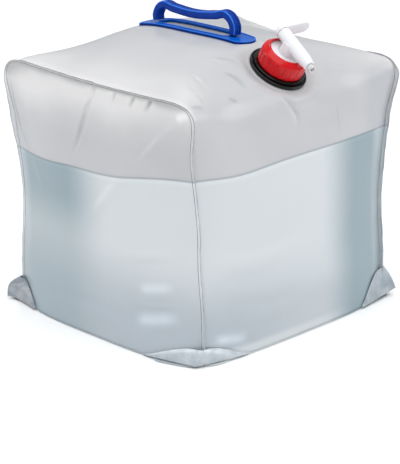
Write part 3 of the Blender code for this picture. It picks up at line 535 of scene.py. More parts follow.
def film_tones(places):
    """The film's fields at rest: height over the water, haze with painted light and shade, the water's tint with
    painted shade at the corners and low down, and painted highlights and shade along folds.
    """
    x, y, z = places.T
    over = z - water_height(x, y)
    past_seam = np.abs(x) - half_width(z)
    end = smooth(past_seam, -0.012, -0.001)
    front = smooth(-y, 0.10, 0.13) * (1 - end)
    # Haze of the dry film with painted light: the ends lighter high over the water, the crown lighter by the end
    # seams, and patches of painted light and shade
    haze_and_shading = HAZE_LEAST + END_HAZE_AND_LIGHT * smooth(over, 0.025, 0.082) * end + HAZE_OF_WRAP * (1 - end)
    haze_and_shading += CROWN_HAZE_AND_LIGHT * (1 - end) * smooth(np.abs(x), 0.085, 0.145) * smooth(z, 0.255, 0.268)
    for centre, reach, depth in HAZE_AND_SHADE_PATCHES:
        haze_and_shading += depth * np.exp(-(((places - centre) / reach) ** 2).sum(axis=1))
    # Painted shade at the vertical corners: the dry film darker, and the water's colour deeper and darker, standing in
    # for refraction through the water
    aqua_and_shade = np.zeros(len(places))
    for sx, sy, full, gone, low_share in AQUA_AND_SHADE_CORNERS:
        corner = np.hypot(x - sx * BAG_WIDTH / 2, y - sy * BAG_DEPTH / 2)
        haze_and_shading -= CORNER_SHADE * (1 - smooth(corner, 0.012, 0.040)) * (1 - smooth(z, *CROWN_EDGE))
        strength = low_share + (1 - low_share) * smooth(z, 0.090, 0.145)
        strength *= 1 - 0.5 * (1 - smooth(corner, 0.006, 0.022))
        aqua_and_shade = np.maximum(aqua_and_shade, strength * (1 - smooth(corner, full, gone)))
    # Painted shade towards the bottom of the wet film, less of it on the front towards the right and at its foot
    low = (1 - smooth(z, 0.030, 0.110)) * (1 - 0.45 * front * smooth(x, -0.12, 0.02))
    low *= 1 - 0.9 * front * (1 - smooth(z, 0.007, 0.014))
    # Painted highlights and shade along folds, creases and swellings, and the seam's dark line, as a factor on the
    # film's colour
    fold = sum(stroke_tone(places, *stroke) for stroke in HIGHLIGHT_AND_SHADE_STROKES)
    fold -= SEAM_LINE * bell(past_seam, SEAM_LINE_WIDTH) * smooth(z, 0.250, 0.262)
    return {"over_water": over, "haze_and_shading": haze_and_shading, "aqua_and_shade": aqua_and_shade, "low": low, "fold": np.clip(1 + fold, *SHADE_AND_HIGHLIGHT_LIMITS)}


def shaded(material, colour, shader):
    """The film's colour times the painted highlights and shade along its folds."""
    shade = add_node(material, "CombineColor")
    for socket in shade.inputs[:3]:
        link(field_of(material, "fold"), socket)
    link(mixed(material, 1.0, colour, shade.outputs[0], "MULTIPLY"), shader.inputs["Base Color"])


def film_material():
    sheen = dict(Transmission_Weight=0.32, IOR=1.35, Coat_Weight=0.25, Coat_Roughness=0.12)
    material, shader = material_of("frosted_film", (0.80, 0.82, 0.85), 0.30, **sheen)
    over = field_of(material, "over_water")
    cloud = range_of(noise_of(material, 14, 3, painted=True), 0.3, 0.7, -0.10, 0.10)
    # Dry film: haze with painted light and shade, and a random cloudiness
    dry = ramp_of(sum_of(material, field_of(material, "haze_and_shading"), cloud), DRY_STOPS)
    # Wet film: light, darker low down and at the corners, both painted shade
    calm = mixed(material, field_of(material, "low"), WET_LIGHT, WET_LOW_SHADE)
    wet = mixed(material, field_of(material, "aqua_and_shade"), calm, WET_EDGE_SHADE)
    film = mixed(material, range_of(over, -0.0005, 0.0005, 0.0, 1.0), wet, dry)
    edge = ramp_of(range_of(over, -0.006, 0.004, 0.0, 1.0), LINE_STOPS)
    lined = mixed(material, 1.0, film, edge, "MULTIPLY")
    shaded(material, lined, shader)
    gloss = noise_of(material, 25, 2, painted=True)
    link(range_of(gloss, 0.3, 0.7, 0.30, 0.38), shader.inputs["Roughness"])
    return material


def water_material():
    material, _ = material_of("clear_water", (0.90, 0.96, 0.98), 0.03, Transmission_Weight=1.0, IOR=1.33)
    absorb = add_node(material, "VolumeAbsorption")
    absorb.inputs["Color"].default_value = (0.62, 0.84, 0.92, 1)
    absorb.inputs["Density"].default_value = 1.6
    link(absorb.outputs["Volume"], material.node_tree.nodes["Material Output"].inputs["Volume"])
    return material


def clear_material(name, dark, light, transmission):
    """Thicker film where it is welded or folded, with random streaks of milkiness."""
    sheen = dict(Transmission_Weight=transmission, IOR=1.4, Coat_Weight=0.4, Coat_Roughness=0.1)
    material, shader = material_of(name, light, 0.25, **sheen)
    streak = noise_of(material, 60, 2, painted=True)
    shaded(material, ramp_of(streak, [(0.35, dark), (0.65, light)]), shader)
    gloss = noise_of(material, 120, 2, painted=True)
    link(range_of(gloss, 0.3, 0.7, 0.18, 0.25), shader.inputs["Roughness"])
    return material


# Shares of haze and painted light over the water, painted shade at the corners, the height where the crown begins, the
# dark line that marks the seam, and the limits of the painted highlights and shade
HAZE_LEAST = 0.18
END_HAZE_AND_LIGHT = 0.86
HAZE_OF_WRAP = 0.14
CROWN_HAZE_AND_LIGHT = 0.40
CORNER_SHADE = 0.35
CROWN_EDGE = (0.255, 0.262)
SEAM_LINE = 0.42
SEAM_LINE_WIDTH = 0.0010
SHADE_AND_HIGHLIGHT_LIMITS = (0.45, 1.5)
# Patches of painted light and shade, where the film is lighter or darker than round it: centre, reach along each axis,
# and how much
HAZE_AND_SHADE_PATCHES = [
    ((-0.152, -0.020, 0.262), (0.030, 0.060, 0.020), 0.10),
    ((0.075, -0.145, 0.222), (0.055, 0.030, 0.016), -0.18),
    ((-0.154, 0.020, 0.225), (0.020, 0.045, 0.022), -0.12),
]
# The corners where the water's colour is deepened and darkened as painted shade, standing in for refraction through
# the water: signs, how far it is full and where it ends, and its strength at the bottom
AQUA_AND_SHADE_CORNERS = [(-1, 1, 0.090, 0.160, 0.55), (1, -1, 0.050, 0.114, 1.0), (1, 1, 0.060, 0.120, 0.70)]
# Painted highlights and shade along folds, creases and swellings, lighter where the tone is above 0 and darker where
# it is below: path and width in tenths of a millimetre, and tone
HIGHLIGHT_AND_SHADE_STROKES = [
    ([(-1531, -355, 2596), (-1549, -309, 2511)], 18, -0.16),
    ([(-1529, -622, 2601), (-1550, -540, 2482)], 18, -0.26),
    ([(-1525, -860, 2622), (-1546, -759, 2476)], 18, -0.26),
    ([(-1526, -105, 2627), (-1567, 66, 2405), (-1578, 166, 2151), (-1560, 280, 1857)], 17, -0.15),
    ([(-1532, -1230, 2490), (-1544, -909, 2229), (-1548, -598, 1928)], 22, 0.13),
    ([(-1548, -365, 1751), (-1538, -168, 1536), (-1530, 60, 1326)], 26, 0.1),
    ([(-1530, -1180, 2470), (-1527, -1380, 2580)], 42, 0.3),
    ([(-1520, 1330, 2600), (-1500, 1290, 2241), (-1467, 1228, 1962), (-1459, 1070, 1700)], 17, -0.3),
    ([(-1459, 1116, 1724), (-1454, 1001, 1488), (-1460, 902, 1293)], 20, 0.12),
    ([(-1540, -580, 325), (-1500, -850, 375), (-1424, -1187, 455)], 58, 0.46),
    ([(-1530, -400, 425), (-1490, -850, 485), (-1424, -1250, 575)], 24, -0.06),
    ([(-1503, -600, 640), (-1427, -1100, 757)], 50, 0.34),
    ([(-1503, -380, 700), (-1427, -1200, 860)], 24, -0.05),
    ([(-1480, 100, 870), (-1480, -760, 1050), (-1430, -1200, 1143)], 40, 0.035),
    ([(-1480, 100, 785), (-1480, -760, 965), (-1430, -1200, 1058)], 40, -0.05),
    ([(-1452, -1294, 2600), (-1360, -1305, 2597), (-1293, -1332, 2561)], 20, -0.2),
    ([(-690, -955, 2786), (-633, -1090, 2732), (-600, -1250, 2615)], 24, -0.24),
    ([(-570, -720, 2869), (-480, -844, 2854), (-443, -973, 2806)], 20, -0.17),
    ([(-900, -1235, 2590), (-780, -1286, 2543)], 20, -0.24),
    ([(-290, -1240, 2606), (-223, -1383, 2494), (-82, -1421, 2328), (-45, -1427, 2203)], 15, -0.24),
    ([(-262, -1383, 2480), (-122, -1421, 2315), (-85, -1427, 2190)], 22, 0.12),
    ([(555, -1385, 2363), (611, -1426, 1937)], 16, -0.07),
    ([(-1280, -1413, 250), (-980, -1460, 200), (-800, -1480, 180)], 48, 0.48),
    ([(-1300, -1420, 1040), (-600, -1490, 1000), (100, -1520, 1080)], 60, 0.035),
    ([(-1300, -1420, 900), (-700, -1490, 840), (-200, -1520, 860)], 60, -0.045),
    ([(-1200, -1430, 620), (-500, -1500, 540), (100, -1520, 560)], 60, -0.04),
    ([(-1250, -1130, 2675), (-1250, -1292, 2594)], 22, -0.12),
    ([(-1640, -880, 50), (-1520, -1150, 140), (-1410, -1410, 190), (-1180, -1460, 120), (-970, -1500, 40)], 20, 0.32),
    ([(1410, -1430, 310), (1220, -1490, 170), (980, -1520, 40)], 18, 0.45),
    ([(1500, -1450, 200), (1380, -1500, 120), (1150, -1530, 40)], 30, -0.22),
    ([(-1540, 1460, 120), (-1560, 1300, 60)], 18, 0.5),
]
DRY_STOPS = [(0.0, (0.61, 0.62, 0.645)), (0.5, (0.70, 0.70, 0.71)), (1.0, (0.88, 0.87, 0.87))]
WET_LIGHT = (0.78, 0.82, 0.84)
WET_LOW_SHADE = (0.54, 0.60, 0.65)
WET_EDGE_SHADE = (0.35, 0.45, 0.50)
LINE_STOPS = [
    (0.0, (1, 1, 1)), (0.25, (1.06, 1.06, 1.05)), (0.48, (1.05, 1.05, 1.05)), (0.53, (0.62, 0.66, 0.69)),
    (0.65, (0.66, 0.70, 0.72)), (0.75, (0.97, 0.97, 0.98)), (1.0, (1, 1, 1)),
]
FILM_LOOK = film_material()
BEAD_LOOK = clear_material("weld_bead", (0.40, 0.42, 0.45), (0.58, 0.60, 0.63), 0.35)
FOLD_LOOK = clear_material("folded_film", (0.52, 0.58, 0.63), (0.70, 0.75, 0.79), 0.30)
# Darker copies of the folded film: painted shade on the folds at the right corners, and deeper painted shade on the
# back left one
EAR_LOOK = clear_material("folded_film_shaded", (0.34, 0.40, 0.45), (0.48, 0.53, 0.58), 0.30)
DARK_EAR_LOOK = clear_material("folded_film_deep_shade", (0.25, 0.29, 0.33), (0.40, 0.43, 0.47), 0.30)
WATER_LOOK = water_material()
BLUE_GRIP = moulded("blue_grip_plastic", (0.0005, 0.035, 0.28), 0.15, **coated(0.04, 0.09, 0.03))
BLUE_PLATE = moulded("blue_plate_plastic", (0.0006, 0.090, 0.46), 0.16, **coated(0.06, 0.10, 0.04))
# Lighter and darker copies of the blue plastic: a painted highlight along rims and edges, and painted shade in grooves
BLUE_EDGE_HIGHLIGHT = moulded("blue_plastic_edge_highlight", (0.020, 0.150, 0.66), 0.15, **coated(0.1, 0.3, 0.03))
BLUE_GROOVE_SHADE = moulded("blue_plastic_groove_shade", (0.0004, 0.016, 0.16), 0.15, Specular_IOR_Level=0.02)
BLACK_PLASTIC = moulded("black_plastic", (0.004, 0.004, 0.004), 0.20, Specular_IOR_Level=0.25)
BLACK_RUBBER = moulded("black_rubber", (0.003, 0.003, 0.003), 0.20, **coated(0.22, 0.15, 0.05))
GREY_RUBBER = moulded("grey_rubber", (0.30, 0.31, 0.33), 0.6)
RED_PLASTIC = moulded("red_plastic", (0.56, 0.004, 0.007), 0.19, **coated(0.2, 0.12, 0.1))
WHITE_PLASTIC = moulded("white_plastic", (0.74, 0.74, 0.77), 0.38, 0.02)
CLEAR_PLASTIC = moulded("clear_plastic", (0.86, 0.87, 0.88), 0.22, 0.02, Transmission_Weight=0.45, IOR=1.45)


# ---- pieces


def soft(piece, *nodes, slot="clear_film"):
    """A film or water piece: hides the imported nodes it stands in for and bakes its place into its mesh."""
    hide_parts(*nodes)
    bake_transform(piece)


# In tenths of a millimetre. Creases: path, width, depth. Swellings: centre, direction, half sizes, height
WRAP_CREASES = [
    ([(-655, -970, 2766), (-637, -1146, 2678), (-597, -1220, 2627)], 26, 16),
    ([(-620, -745, 2840), (-595, -874, 2810)], 24, 12),
    ([(-850, -1255, 2570), (-770, -1280, 2547)], 24, 10),
    ([(-1176, -1030, 2688), (-1270, -1315, 2560)], 28, 26),
    ([(-996, -886, 2745), (-1080, -1160, 2640)], 28, 26),
    ([(-240, -1360, 2520), (-82, -1421, 2328), (-45, -1427, 2200)], 34, 20),
    ([(640, -1186, 2650), (900, -1217, 2600)], 30, 26),
]
WRAP_PUFFS = [
    ((-1050, -1440, 220), (1, 0, 0), 200, 40, 24),
    ((200, -1490, 600), (1, 0, -0.1), 500, 100, 18),
    ((-600, -1500, 360), (1, 0, 0.1), 300, 70, 18),
]
END_CREASES = [
    ([(-1525, -30, 2600), (-1570, 30, 2380), (-1580, 150, 2100), (-1560, 290, 1870)], 32, 26),
    ([(-1520, -340, 2600), (-1540, -290, 2490)], 24, 26),
    ([(-1520, -610, 2600), (-1540, -540, 2490)], 24, 26),
    ([(-1520, -850, 2620), (-1540, -760, 2470)], 24, 26),
]
END_PUFFS = [
    ((-1480, -900, 380), (0, -1, 0.2), 240, 60, 24),
    ((-1470, -900, 710), (0, -1, 0.2), 220, 60, 20),
    ((-1540, -200, 1530), (0, 1, -1.0), 240, 45, 20),
    ((-1500, -1050, 2350), (0, 1, -0.8), 160, 60, 22),
    ((-1580, 200, 300), (0, 1, 0), 450, 80, 18),
]


def dressed(grid, side, creases, puffs, fade, seed):
    """The sheet's grid with its slow waves, swellings and creases, which all end at its edges."""
    out = normals_of(grid) * side
    rise = 0.0009 * waves(grid, 0.055, seed) + 0.0003 * waves(grid, 0.022, seed + 7)
    for puff in puffs:
        rise += puff_lift(grid, *puff)
    for crease in creases:
        rise += crease_lift(grid, *crease)
    return grid + out * (rise * fade)[..., None]


def plate_distance(places):
    along = np.maximum(np.abs(places[..., 1] - HANDLE_Y) - (PLATE_LENGTH - PLATE_WIDTH) / 2, 0)
    return np.hypot(places[..., 0], along) - PLATE_WIDTH / 2


def make_wrap():
    shares = np.concatenate([
        np.linspace(0, WALL_SHARE, 90, endpoint=False),
        np.linspace(WALL_SHARE, 1 - WALL_SHARE, 320, endpoint=False),
        np.linspace(1 - WALL_SHARE, 1, 61),
    ])
    share, u = np.meshgrid(shares, np.linspace(-1, 1, 241), indexing="ij")
    grid = wrap_points(u, share)
    radius, _ = neck_polar(grid)
    flat = smooth(radius, 0.033, 0.042) * np.maximum(smooth(plate_distance(grid), 0, 0.010), grid[..., 2] < 0.25)
    fade = flat * (1 - smooth(np.abs(u), 0.965, 1)) * smooth(grid[..., 2], 0.003, 0.014)
    grid = dressed(grid, 1, WRAP_CREASES, WRAP_PUFFS, fade, 3.0)

    def in_neck(centres):
        radius, height = neck_polar(centres)
        return (radius < NECK_HOLE) & (np.abs(height) < NECK_HOLE)

    piece = sheet_piece("wrap_skin", grid, SKIN, FILM_LOOK, in_neck)
    paint(piece)
    soft(piece, "wrap_film")


def make_end(side):
    name = "left" if side < 0 else "right"
    w, v = np.meshgrid(np.linspace(0, 1, 231), np.linspace(0, 1, 231), indexing="ij")
    grid = end_points(side, v, w)
    rim = np.minimum(np.minimum(v, 1 - v), 1 - w)
    fade = smooth(rim, 0, 0.035) * smooth(grid[..., 2], 0.003, 0.014)
    flip = [-side, 1, 1]
    creases = [(np.array(path) * flip, width, depth) for path, width, depth in END_CREASES]
    puffs = [(np.array(centre) * flip, np.array(along) * flip, *rest) for centre, along, *rest in END_PUFFS]
    grid = dressed(grid, side, creases, puffs, fade, 11.0 + side)
    piece = sheet_piece(f"{name}_end_skin", grid, SKIN, FILM_LOOK)
    paint(piece)
    soft(piece, f"{name}_end_film")


def water_loop(share, grow, columns=40):
    """The water's outline at a share of its height, its corners lifted as the film's are."""
    u = 2 * np.arange(columns) / columns - 1
    z = np.full(4 * columns, BASE_TOP)
    for _ in range(4):
        front, right, back, left = z.reshape(4, columns)
        sides = [water_side(u, front, right, grow, 1), water_side(u, back, left, grow, -1)]
        place = np.concatenate(sides)
        height = BASE_TOP + 0.0004 + (water_height(*place.T) - BASE_TOP - 0.0004) * share
        z = np.maximum(height - corner_lift(*place.T, height), BASE_TOP)
    return np.column_stack([place, height])


def water_side(u, z_face, z_end, grow, sign):
    face = np.stack([u * (half_width(z_face) + grow), -wall_y(u, z_face) - grow], -1)
    end = np.stack([half_width(z_end) + grow + end_reach(u, z_end), u * (wall_y(1, z_end) + grow)], -1)
    return sign * np.concatenate([face, end])


def make_water():
    grow = -SKIN / 2 - WATER_INSET
    low, high = water_loop(0, grow), water_loop(1, grow)
    rings = [low * [share, share, 1] for share in np.linspace(0.1, 1, 8, endpoint=False)]
    rings += [water_loop(share, grow) for share in np.linspace(0, 1, 61)]
    for share in np.linspace(1, 0.05, 24)[1:]:
        ring = high * [share, share, 1]
        rings.append(np.column_stack([ring[:, :2], water_height(ring[:, 0], ring[:, 1])]))
    piece = mesh_piece("water_body", *capped(np.array(rings), low[0, 2], WATER_LEVEL), WATER_LOOK)
    soft(piece, "water_fill", slot="water")


def out_of_wrap(u, share):
    step = 0.0015
    before = np.stack(wrap_profile(u, np.maximum(share - step, 0)), -1)
    after = np.stack(wrap_profile(u, np.minimum(share + step, 1)), -1)
    along = (after - before) / np.linalg.norm(after - before, axis=-1, keepdims=True)
    return np.stack([0 * share, -along[..., 1], along[..., 0]], -1)


# The weld's section in mm: across the seam, and out of the bag. Its flat columns are film, the rest is bead
WELD_HALF = [
    (0.50, -0.3), (0.62, 0.05), (0.58, 0.45), (0.40, 0.8), (0.30, 1.6), (0.30, 2.6), (0.44, 3.0), (0.55, 3.3),
    (0.52, 3.7), (0.30, 3.95),
]
WELD_SECTION = [(-x, y) for x, y in WELD_HALF] + [(0, 4.02)] + WELD_HALF[::-1]
WELD_FILM_COLUMNS = (3, 4, 5, 14, 15, 16)
TOP_NARROWING = 0.5
LEFT_STRETCH = 1.2
RIGHT_STRETCH = 0.4


def make_weld(side):
    name = "left" if side < 0 else "right"
    share = np.linspace(0, 1, 520)
    edge = np.full_like(share, side)
    middle = wrap_points(edge, share)
    out = out_of_wrap(edge, share)
    section = np.array(WELD_SECTION) / 1000
    wave = 0.0002 * np.sin(share * 91) + 0.00015 * np.sin(share * 237 + 1)
    top = smooth(middle[:, 2], 0.250, 0.262)
    tall = 1 - TOP_NARROWING * top
    if side < 0:
        tall += LEFT_STRETCH * bell(middle[:, 2] - 0.205, 0.04) * (middle[:, 1] > 0)
    else:
        tall += RIGHT_STRETCH * (1 - top) * (middle[:, 1] < 0)
    rise = (section[None, :, 1] + wave[:, None] * (section[None, :, 1] > 0.002)) * tall[:, None]
    points = middle[:, None] + out[:, None] * rise[..., None]
    points[..., 0] += section[None, :, 0] * (1 + 0.3 * top[:, None])
    rows, cols = points.shape[:2]
    faces = quads_of(rows, cols, close_cols=True)
    caps = [list(range(cols)), list(range(rows * cols - 1, (rows - 1) * cols - 1, -1))]
    piece = mesh_piece(f"{name}_weld", points, faces.tolist() + caps, FILM_LOOK)
    piece.data.materials.append(BEAD_LOOK)
    for polygon in piece.data.polygons:
        column = polygon.index % cols
        if polygon.index < len(faces) and column not in WELD_FILM_COLUMNS:
            polygon.material_index = 1
    paint(piece)
    soft(piece, f"{name}_end_film")


def closed_smooth(loop, rounds):
    for _ in range(rounds):
        loop = (np.roll(loop, 1, 0) + 2 * loop + np.roll(loop, -1, 0)) / 4
    return loop


# Each bottom corner, anticlockwise from the front left: signs, the fold's tip and the hem's points, in 0.1 mm
CORNERS = {
    "front_left": ((-1, -1), (-1490, -1390), [
        (-1625, -935), (-1585, -1070), (-1495, -1320), (-1410, -1385), (-1240, -1475),
    ]),
    "front_right": ((1, -1), (1600, -1470), [(1500, -1430)]),
    "back_right": ((1, 1), (1520, 1515), [(1500, 1490)]),
    "back_left": ((-1, 1), (-1560, 1500), [(-1460, 1470)]),
}


def foot_place(face, share, out):
    """A place at the foot of side 0 to 3, front, right, back and left, at a share from -1 to 1 across it."""
    if face % 2 == 0:
        x, y = share * BAG_WIDTH / 2, -half_depth(share, 0) - out
    else:
        x, y = BAG_WIDTH / 2 + end_reach(share, 0) + out, share * BAG_DEPTH / 2
    return np.array([x, y] if face < 2 else [-x, -y])


def base_outline():
    """The hem's outline, with a rounded point at each corner, anticlockwise."""
    loop = []
    for face, (_, _, points) in enumerate(CORNERS.values()):
        loop += [np.array(point) / 10000 for point in points]
        span = 1 - 2 * TAB_RUN / (BAG_WIDTH if face % 2 == 0 else BAG_DEPTH)
        loop += [foot_place(face, share, SHOWN_HEM) for share in np.linspace(-span, span, 25)]
    dense = []
    for a, b in zip(loop, loop[1:] + loop[:1]):
        count = max(int(np.linalg.norm(b - a) / 0.0016), 1)
        dense += [a + (b - a) * i / count for i in range(count)]
    return closed_smooth(np.array(dense), 14)


# The base film's edge: how far in from its outline in metres, and the height in mm
BASE_SECTION = [
    (0.10, 0.15), (0.0020, 0.0), (0.0007, 0.05), (0.0001, 0.35), (0.0, 0.8), (0.0003, 1.15), (0.0009, 1.35),
    (0.0018, 1.4), (0.0026, 1.2), (0.0045, 1.1), (0.010, 1.1), (0.10, 1.1),
]
BASE_MIDDLE = (0.00015, 0.0011)


def make_base():
    loop = base_outline()
    tangent = np.roll(loop, -1, 0) - np.roll(loop, 1, 0)
    normal = np.stack([tangent[:, 1], -tangent[:, 0]], -1)
    normal /= np.linalg.norm(normal, axis=1, keepdims=True)
    rows = []
    for inset, height in BASE_SECTION:
        place = loop - normal * inset if inset < 0.05 else loop * 0.15
        rows.append(np.insert(place, 2, height / 1000, axis=1))
    piece = mesh_piece("base_skin", *capped(np.array(rows), *BASE_MIDDLE), FILM_LOOK)
    toned(piece, len(loop), {1: BEAD_LOOK, 2: BEAD_LOOK})
    paint(piece)
    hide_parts("base_film")
    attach(piece, "bag")


def wall_place(sign_x, sign_y, s, run_x, run_y, z, off):
    """A place just outside the walls by a bottom corner: on the front or back for s below 0, else on the end."""
    along_x = sign_x * (BAG_WIDTH / 2 - np.where(s < 0, -s, 0) * run_x)
    along_y = sign_y * (BAG_DEPTH / 2 - np.where(s > 0, s, 0) * run_y)
    face_y = sign_y * (half_depth(along_x / half_width(z), z) + off)
    end_x = sign_x * (half_width(z) + end_reach(np.clip(along_y / half_depth(1, z), -1, 1), z) + off)
    return np.stack([np.where(s < 0, along_x, end_x), np.where(s < 0, face_y, along_y), z], -1)


# Each fold: look, run along the front or back and along the end, height, puff, the tip's lift, steepness, pleats
FOLDS = {
    "front_left": (FOLD_LOOK, 0.053, 0.060, 0.0165, 0.0030, 0.0, 1.3, 0.0006),
    "front_right": (EAR_LOOK, 0.042, 0.040, 0.0330, 0.0010, 0.0055, 1.1, 0.0003),
    "back_right": (EAR_LOOK, 0.040, 0.040, 0.0200, 0.0020, 0.0020, 1.3, 0.0004),
    "back_left": (DARK_EAR_LOOK, 0.036, 0.040, 0.0220, 0.0050, 0.0008, 0.8, 0.0005),
}


def make_corner_fold(name, look, run_x, run_y, height, puff, lean, power, pleats):
    """A corner's folded flap: from a line on the walls, high at the corner, down to the hem's rim."""
    (sign_x, sign_y), tip, _ = CORNERS[name]
    s, t = np.meshgrid(np.linspace(-1, 1, 121), np.linspace(0, 1, 33), indexing="ij")
    signs = np.array([sign_x, sign_y])
    rise = np.cos(np.abs(s) * pi / 2) ** power
    wall = wall_place(sign_x, sign_y, s, run_x, run_y, FOLD_FLOOR + height * rise, 0.0014)
    wall[..., :2] += signs * 0.0030 * bell(s, 0.12)[..., None]
    rim = wall_place(sign_x, sign_y, s, run_x, run_y, FOLD_FLOOR + 0 * s, HEM - 0.0012)
    pull = np.exp(-((np.abs(s) / 0.45) ** 1.8))
    inner = np.array(tip) / 10000 - signs * 0.0016
    rim[..., :2] = rim[..., :2] * (1 - pull[..., None]) + inner * pull[..., None]
    rim[..., 2] = FOLD_FLOOR + lean * pull
    grid = wall * (1 - t[..., None]) + rim * t[..., None]
    folded = pleats * np.sin(s * 31 + 4 * t) * np.sin(pi * t) ** 0.5 * (1 - np.abs(s))
    swell = puff * np.sin(pi * t) * rise + folded
    grid += swell[..., None] * [sign_x * 0.6, sign_y * 0.6, 0.5]
    grid[..., 2] = np.maximum(grid[..., 2], FOLD_FLOOR - 0.0001)
    piece = sheet_piece(f"{name}_fold", grid, FOLD_SKIN, look)
    paint(piece)
    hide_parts(f"corner_tab_{name}")
    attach(piece, "bag")


# The plate's section: an edge and how far from it in mm, or the share across, and the height in mm
PLATE_SECTION = [
    ("out", 0.9, 0.0), ("out", 0.25, 0.15), ("out", 0.0, 0.7), ("out", 0.0, 2.2), ("out", 0.3, 2.8), ("out", 0.9, 3.0),
    ("out", 1.5, 2.8), ("out", 1.9, 2.3), ("out", 2.3, 2.1), ("mid", 0.2, 2.1), ("mid", 0.4, 2.1), ("mid", 0.6, 2.1),
    ("mid", 0.8, 2.1), ("in", 2.2, 2.1), ("in", 1.8, 2.3), ("in", 1.4, 2.8), ("in", 0.9, 3.0), ("in", 0.3, 2.8),
    ("in", 0.0, 2.2), ("in", 0.0, 0.7), ("in", 0.25, 0.15), ("in", 0.9, 0.0), ("mid", 0.5, 0.0),
]
# Rows of the plate with a painted highlight on the tops of its rims, and with painted shade on the rims' inner slopes
# and its outer side
PLATE_LOOKS = dict.fromkeys((4, 5, 15, 16), BLUE_EDGE_HIGHLIGHT) | dict.fromkeys((7, 13, 2), BLUE_GROOVE_SHADE)


def make_plate():
    share = np.linspace(0, 1, 200, endpoint=False)
    rows = []
    for edge, inset, height in PLATE_SECTION:
        outer_in, inner_out = (2 * (inset / 1000 if edge == here else PLATE_RIM) for here in ("out", "in"))
        outer = stadium(PLATE_LENGTH - outer_in, PLATE_WIDTH - outer_in, share)
        inner = stadium(WINDOW_LENGTH + inner_out, WINDOW_WIDTH + inner_out, share)
        across = {"out": 0, "in": 1}.get(edge, inset)
        place = outer * (1 - across) + inner * across
        x, y = place[:, 0], place[:, 1] + HANDLE_Y
        z = film_height(x, y) + PLATE_LIFT + height / 1000 * PLATE_FLATTENING
        rows.append(np.stack([x, y, z], -1))
    grid = np.array(rows)
    count, around = grid.shape[:2]
    faces = quads_of(count, around, close_rows=True, close_cols=True)
    piece = mesh_piece("handle_plate_detail", grid, faces, BLUE_PLATE)
    toned(piece, around, PLATE_LOOKS)
    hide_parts("handle_base_plate")
    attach(piece, "top_fittings")


def bezier_path(places, steps):
    """Blender's own automatic handles on a path in the YZ plane, its two ends with straight handles."""
    curve = bpy.data.curves.new("grip_path", "CURVE")
    curve.dimensions = "3D"
    curve.resolution_u = steps
    spline = curve.splines.new("BEZIER")
    spline.bezier_points.add(len(places) - 1)
    for point, place in zip(spline.bezier_points, places):
        point.co = place
        point.handle_left_type = point.handle_right_type = "AUTO"
    for index in (0, -1):
        end = spline.bezier_points[index]
        end.handle_left_type = end.handle_right_type = "VECTOR"
    guide = new_object("grip_path", curve)
    mesh = bpy.data.meshes.new_from_object(guide.evaluated_get(bpy.context.evaluated_depsgraph_get()))
    places = np.array([vertex.co[:] for vertex in mesh.vertices])
    bpy.data.objects.remove(guide)
    bpy.data.meshes.remove(mesh)
    return places


# The grip's grooves in mm: distance from its middle, half width, depth, and the steps across
GROOVE_PLACE = 1.5
GROOVE_REACH = 0.9
GROOVE_DEPTH = 0.55
GROOVE_STEPS = (3.0, 2.6, 2.2, 1.9, 1.5, 1.1, 0.8, 0.4, 0, -0.4, -0.8, -1.1, -1.5, -1.9, -2.2, -2.6, -3.0)
# Strips along the grip with a painted highlight on its two upper edges, and with painted shade in its grooves
GRIP_LOOKS = dict.fromkeys((2, 3, 26, 27), BLUE_EDGE_HIGHLIGHT) | dict.fromkeys((9, 10, 11, 19, 20, 21), BLUE_GROOVE_SHADE)


def grip_section():
    """The grip's rounded section with two shallow grooves on its outer face."""
    loop = []
    hx, hy = GRIP_WIDTH / 2 - GRIP_ROUND, GRIP_THICKNESS / 2 - GRIP_ROUND
    for quarter, (sx, sy) in enumerate(((1, 1), (-1, 1), (-1, -1), (1, -1))):
        for i in range(7):
            angle = pi / 2 * (quarter + i / 6)
            loop.append((sx * hx + GRIP_ROUND * cos(angle), sy * hy + GRIP_ROUND * sin(angle)))
        if quarter == 0:
            for x in GROOVE_STEPS:
                dip = GROOVE_DEPTH * max(0, cos((abs(x) - GROOVE_PLACE) / GROOVE_REACH * pi / 2))
                loop.append((x / 1000, GRIP_THICKNESS / 2 - dip / 1000))
    return np.array(loop)


def make_grip():
    top = film_height(0, HANDLE_Y) + HALF_FILM + GRIP_HEIGHT - GRIP_THICKNESS / 2
    feet = [film_height(0, HANDLE_Y + side * (GRIP_REACH - GRIP_THICKNESS / 2)) for side in (-1, 1)]
    inner = 1 - GRIP_BEND / GRIP_REACH
    shares = (-1, -1, -inner, -0.55, 0, 0.55, inner, 1, 1)
    drops = (None, GRIP_BEND, 0, 0.45 * GRIP_DROP, GRIP_DROP, 0.45 * GRIP_DROP, 0, GRIP_BEND, None)
    places = []
    for share, low in zip(shares, drops):
        z = feet[share > 0] + HALF_FILM + GRIP_FOOT if low is None else top - low
        places.append((0, HANDLE_Y + share * GRIP_REACH, z))
    path = bezier_path(places, 14)
    along = np.gradient(path, axis=0)
    along /= np.linalg.norm(along, axis=1, keepdims=True)
    out = np.stack([0 * along[:, 0], -along[:, 2], along[:, 1]], -1)
    section = grip_section()[:, None]
    points = section[..., :1] * [1, 0, 0] + section[..., 1:] * out[None] + path[None]
    rows, cols = points.shape[:2]
    ends = [list(range(0, rows * cols, cols)), list(range(rows * cols - 1, 0, -cols))]
    faces = quads_of(rows, cols, close_rows=True).tolist() + ends
    piece = mesh_piece("handle_grip_detail", points, faces, BLUE_GRIP)
    toned(piece, cols - 1, GRIP_LOOKS)
    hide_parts("handle_grip")
    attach(piece, "top_fittings")


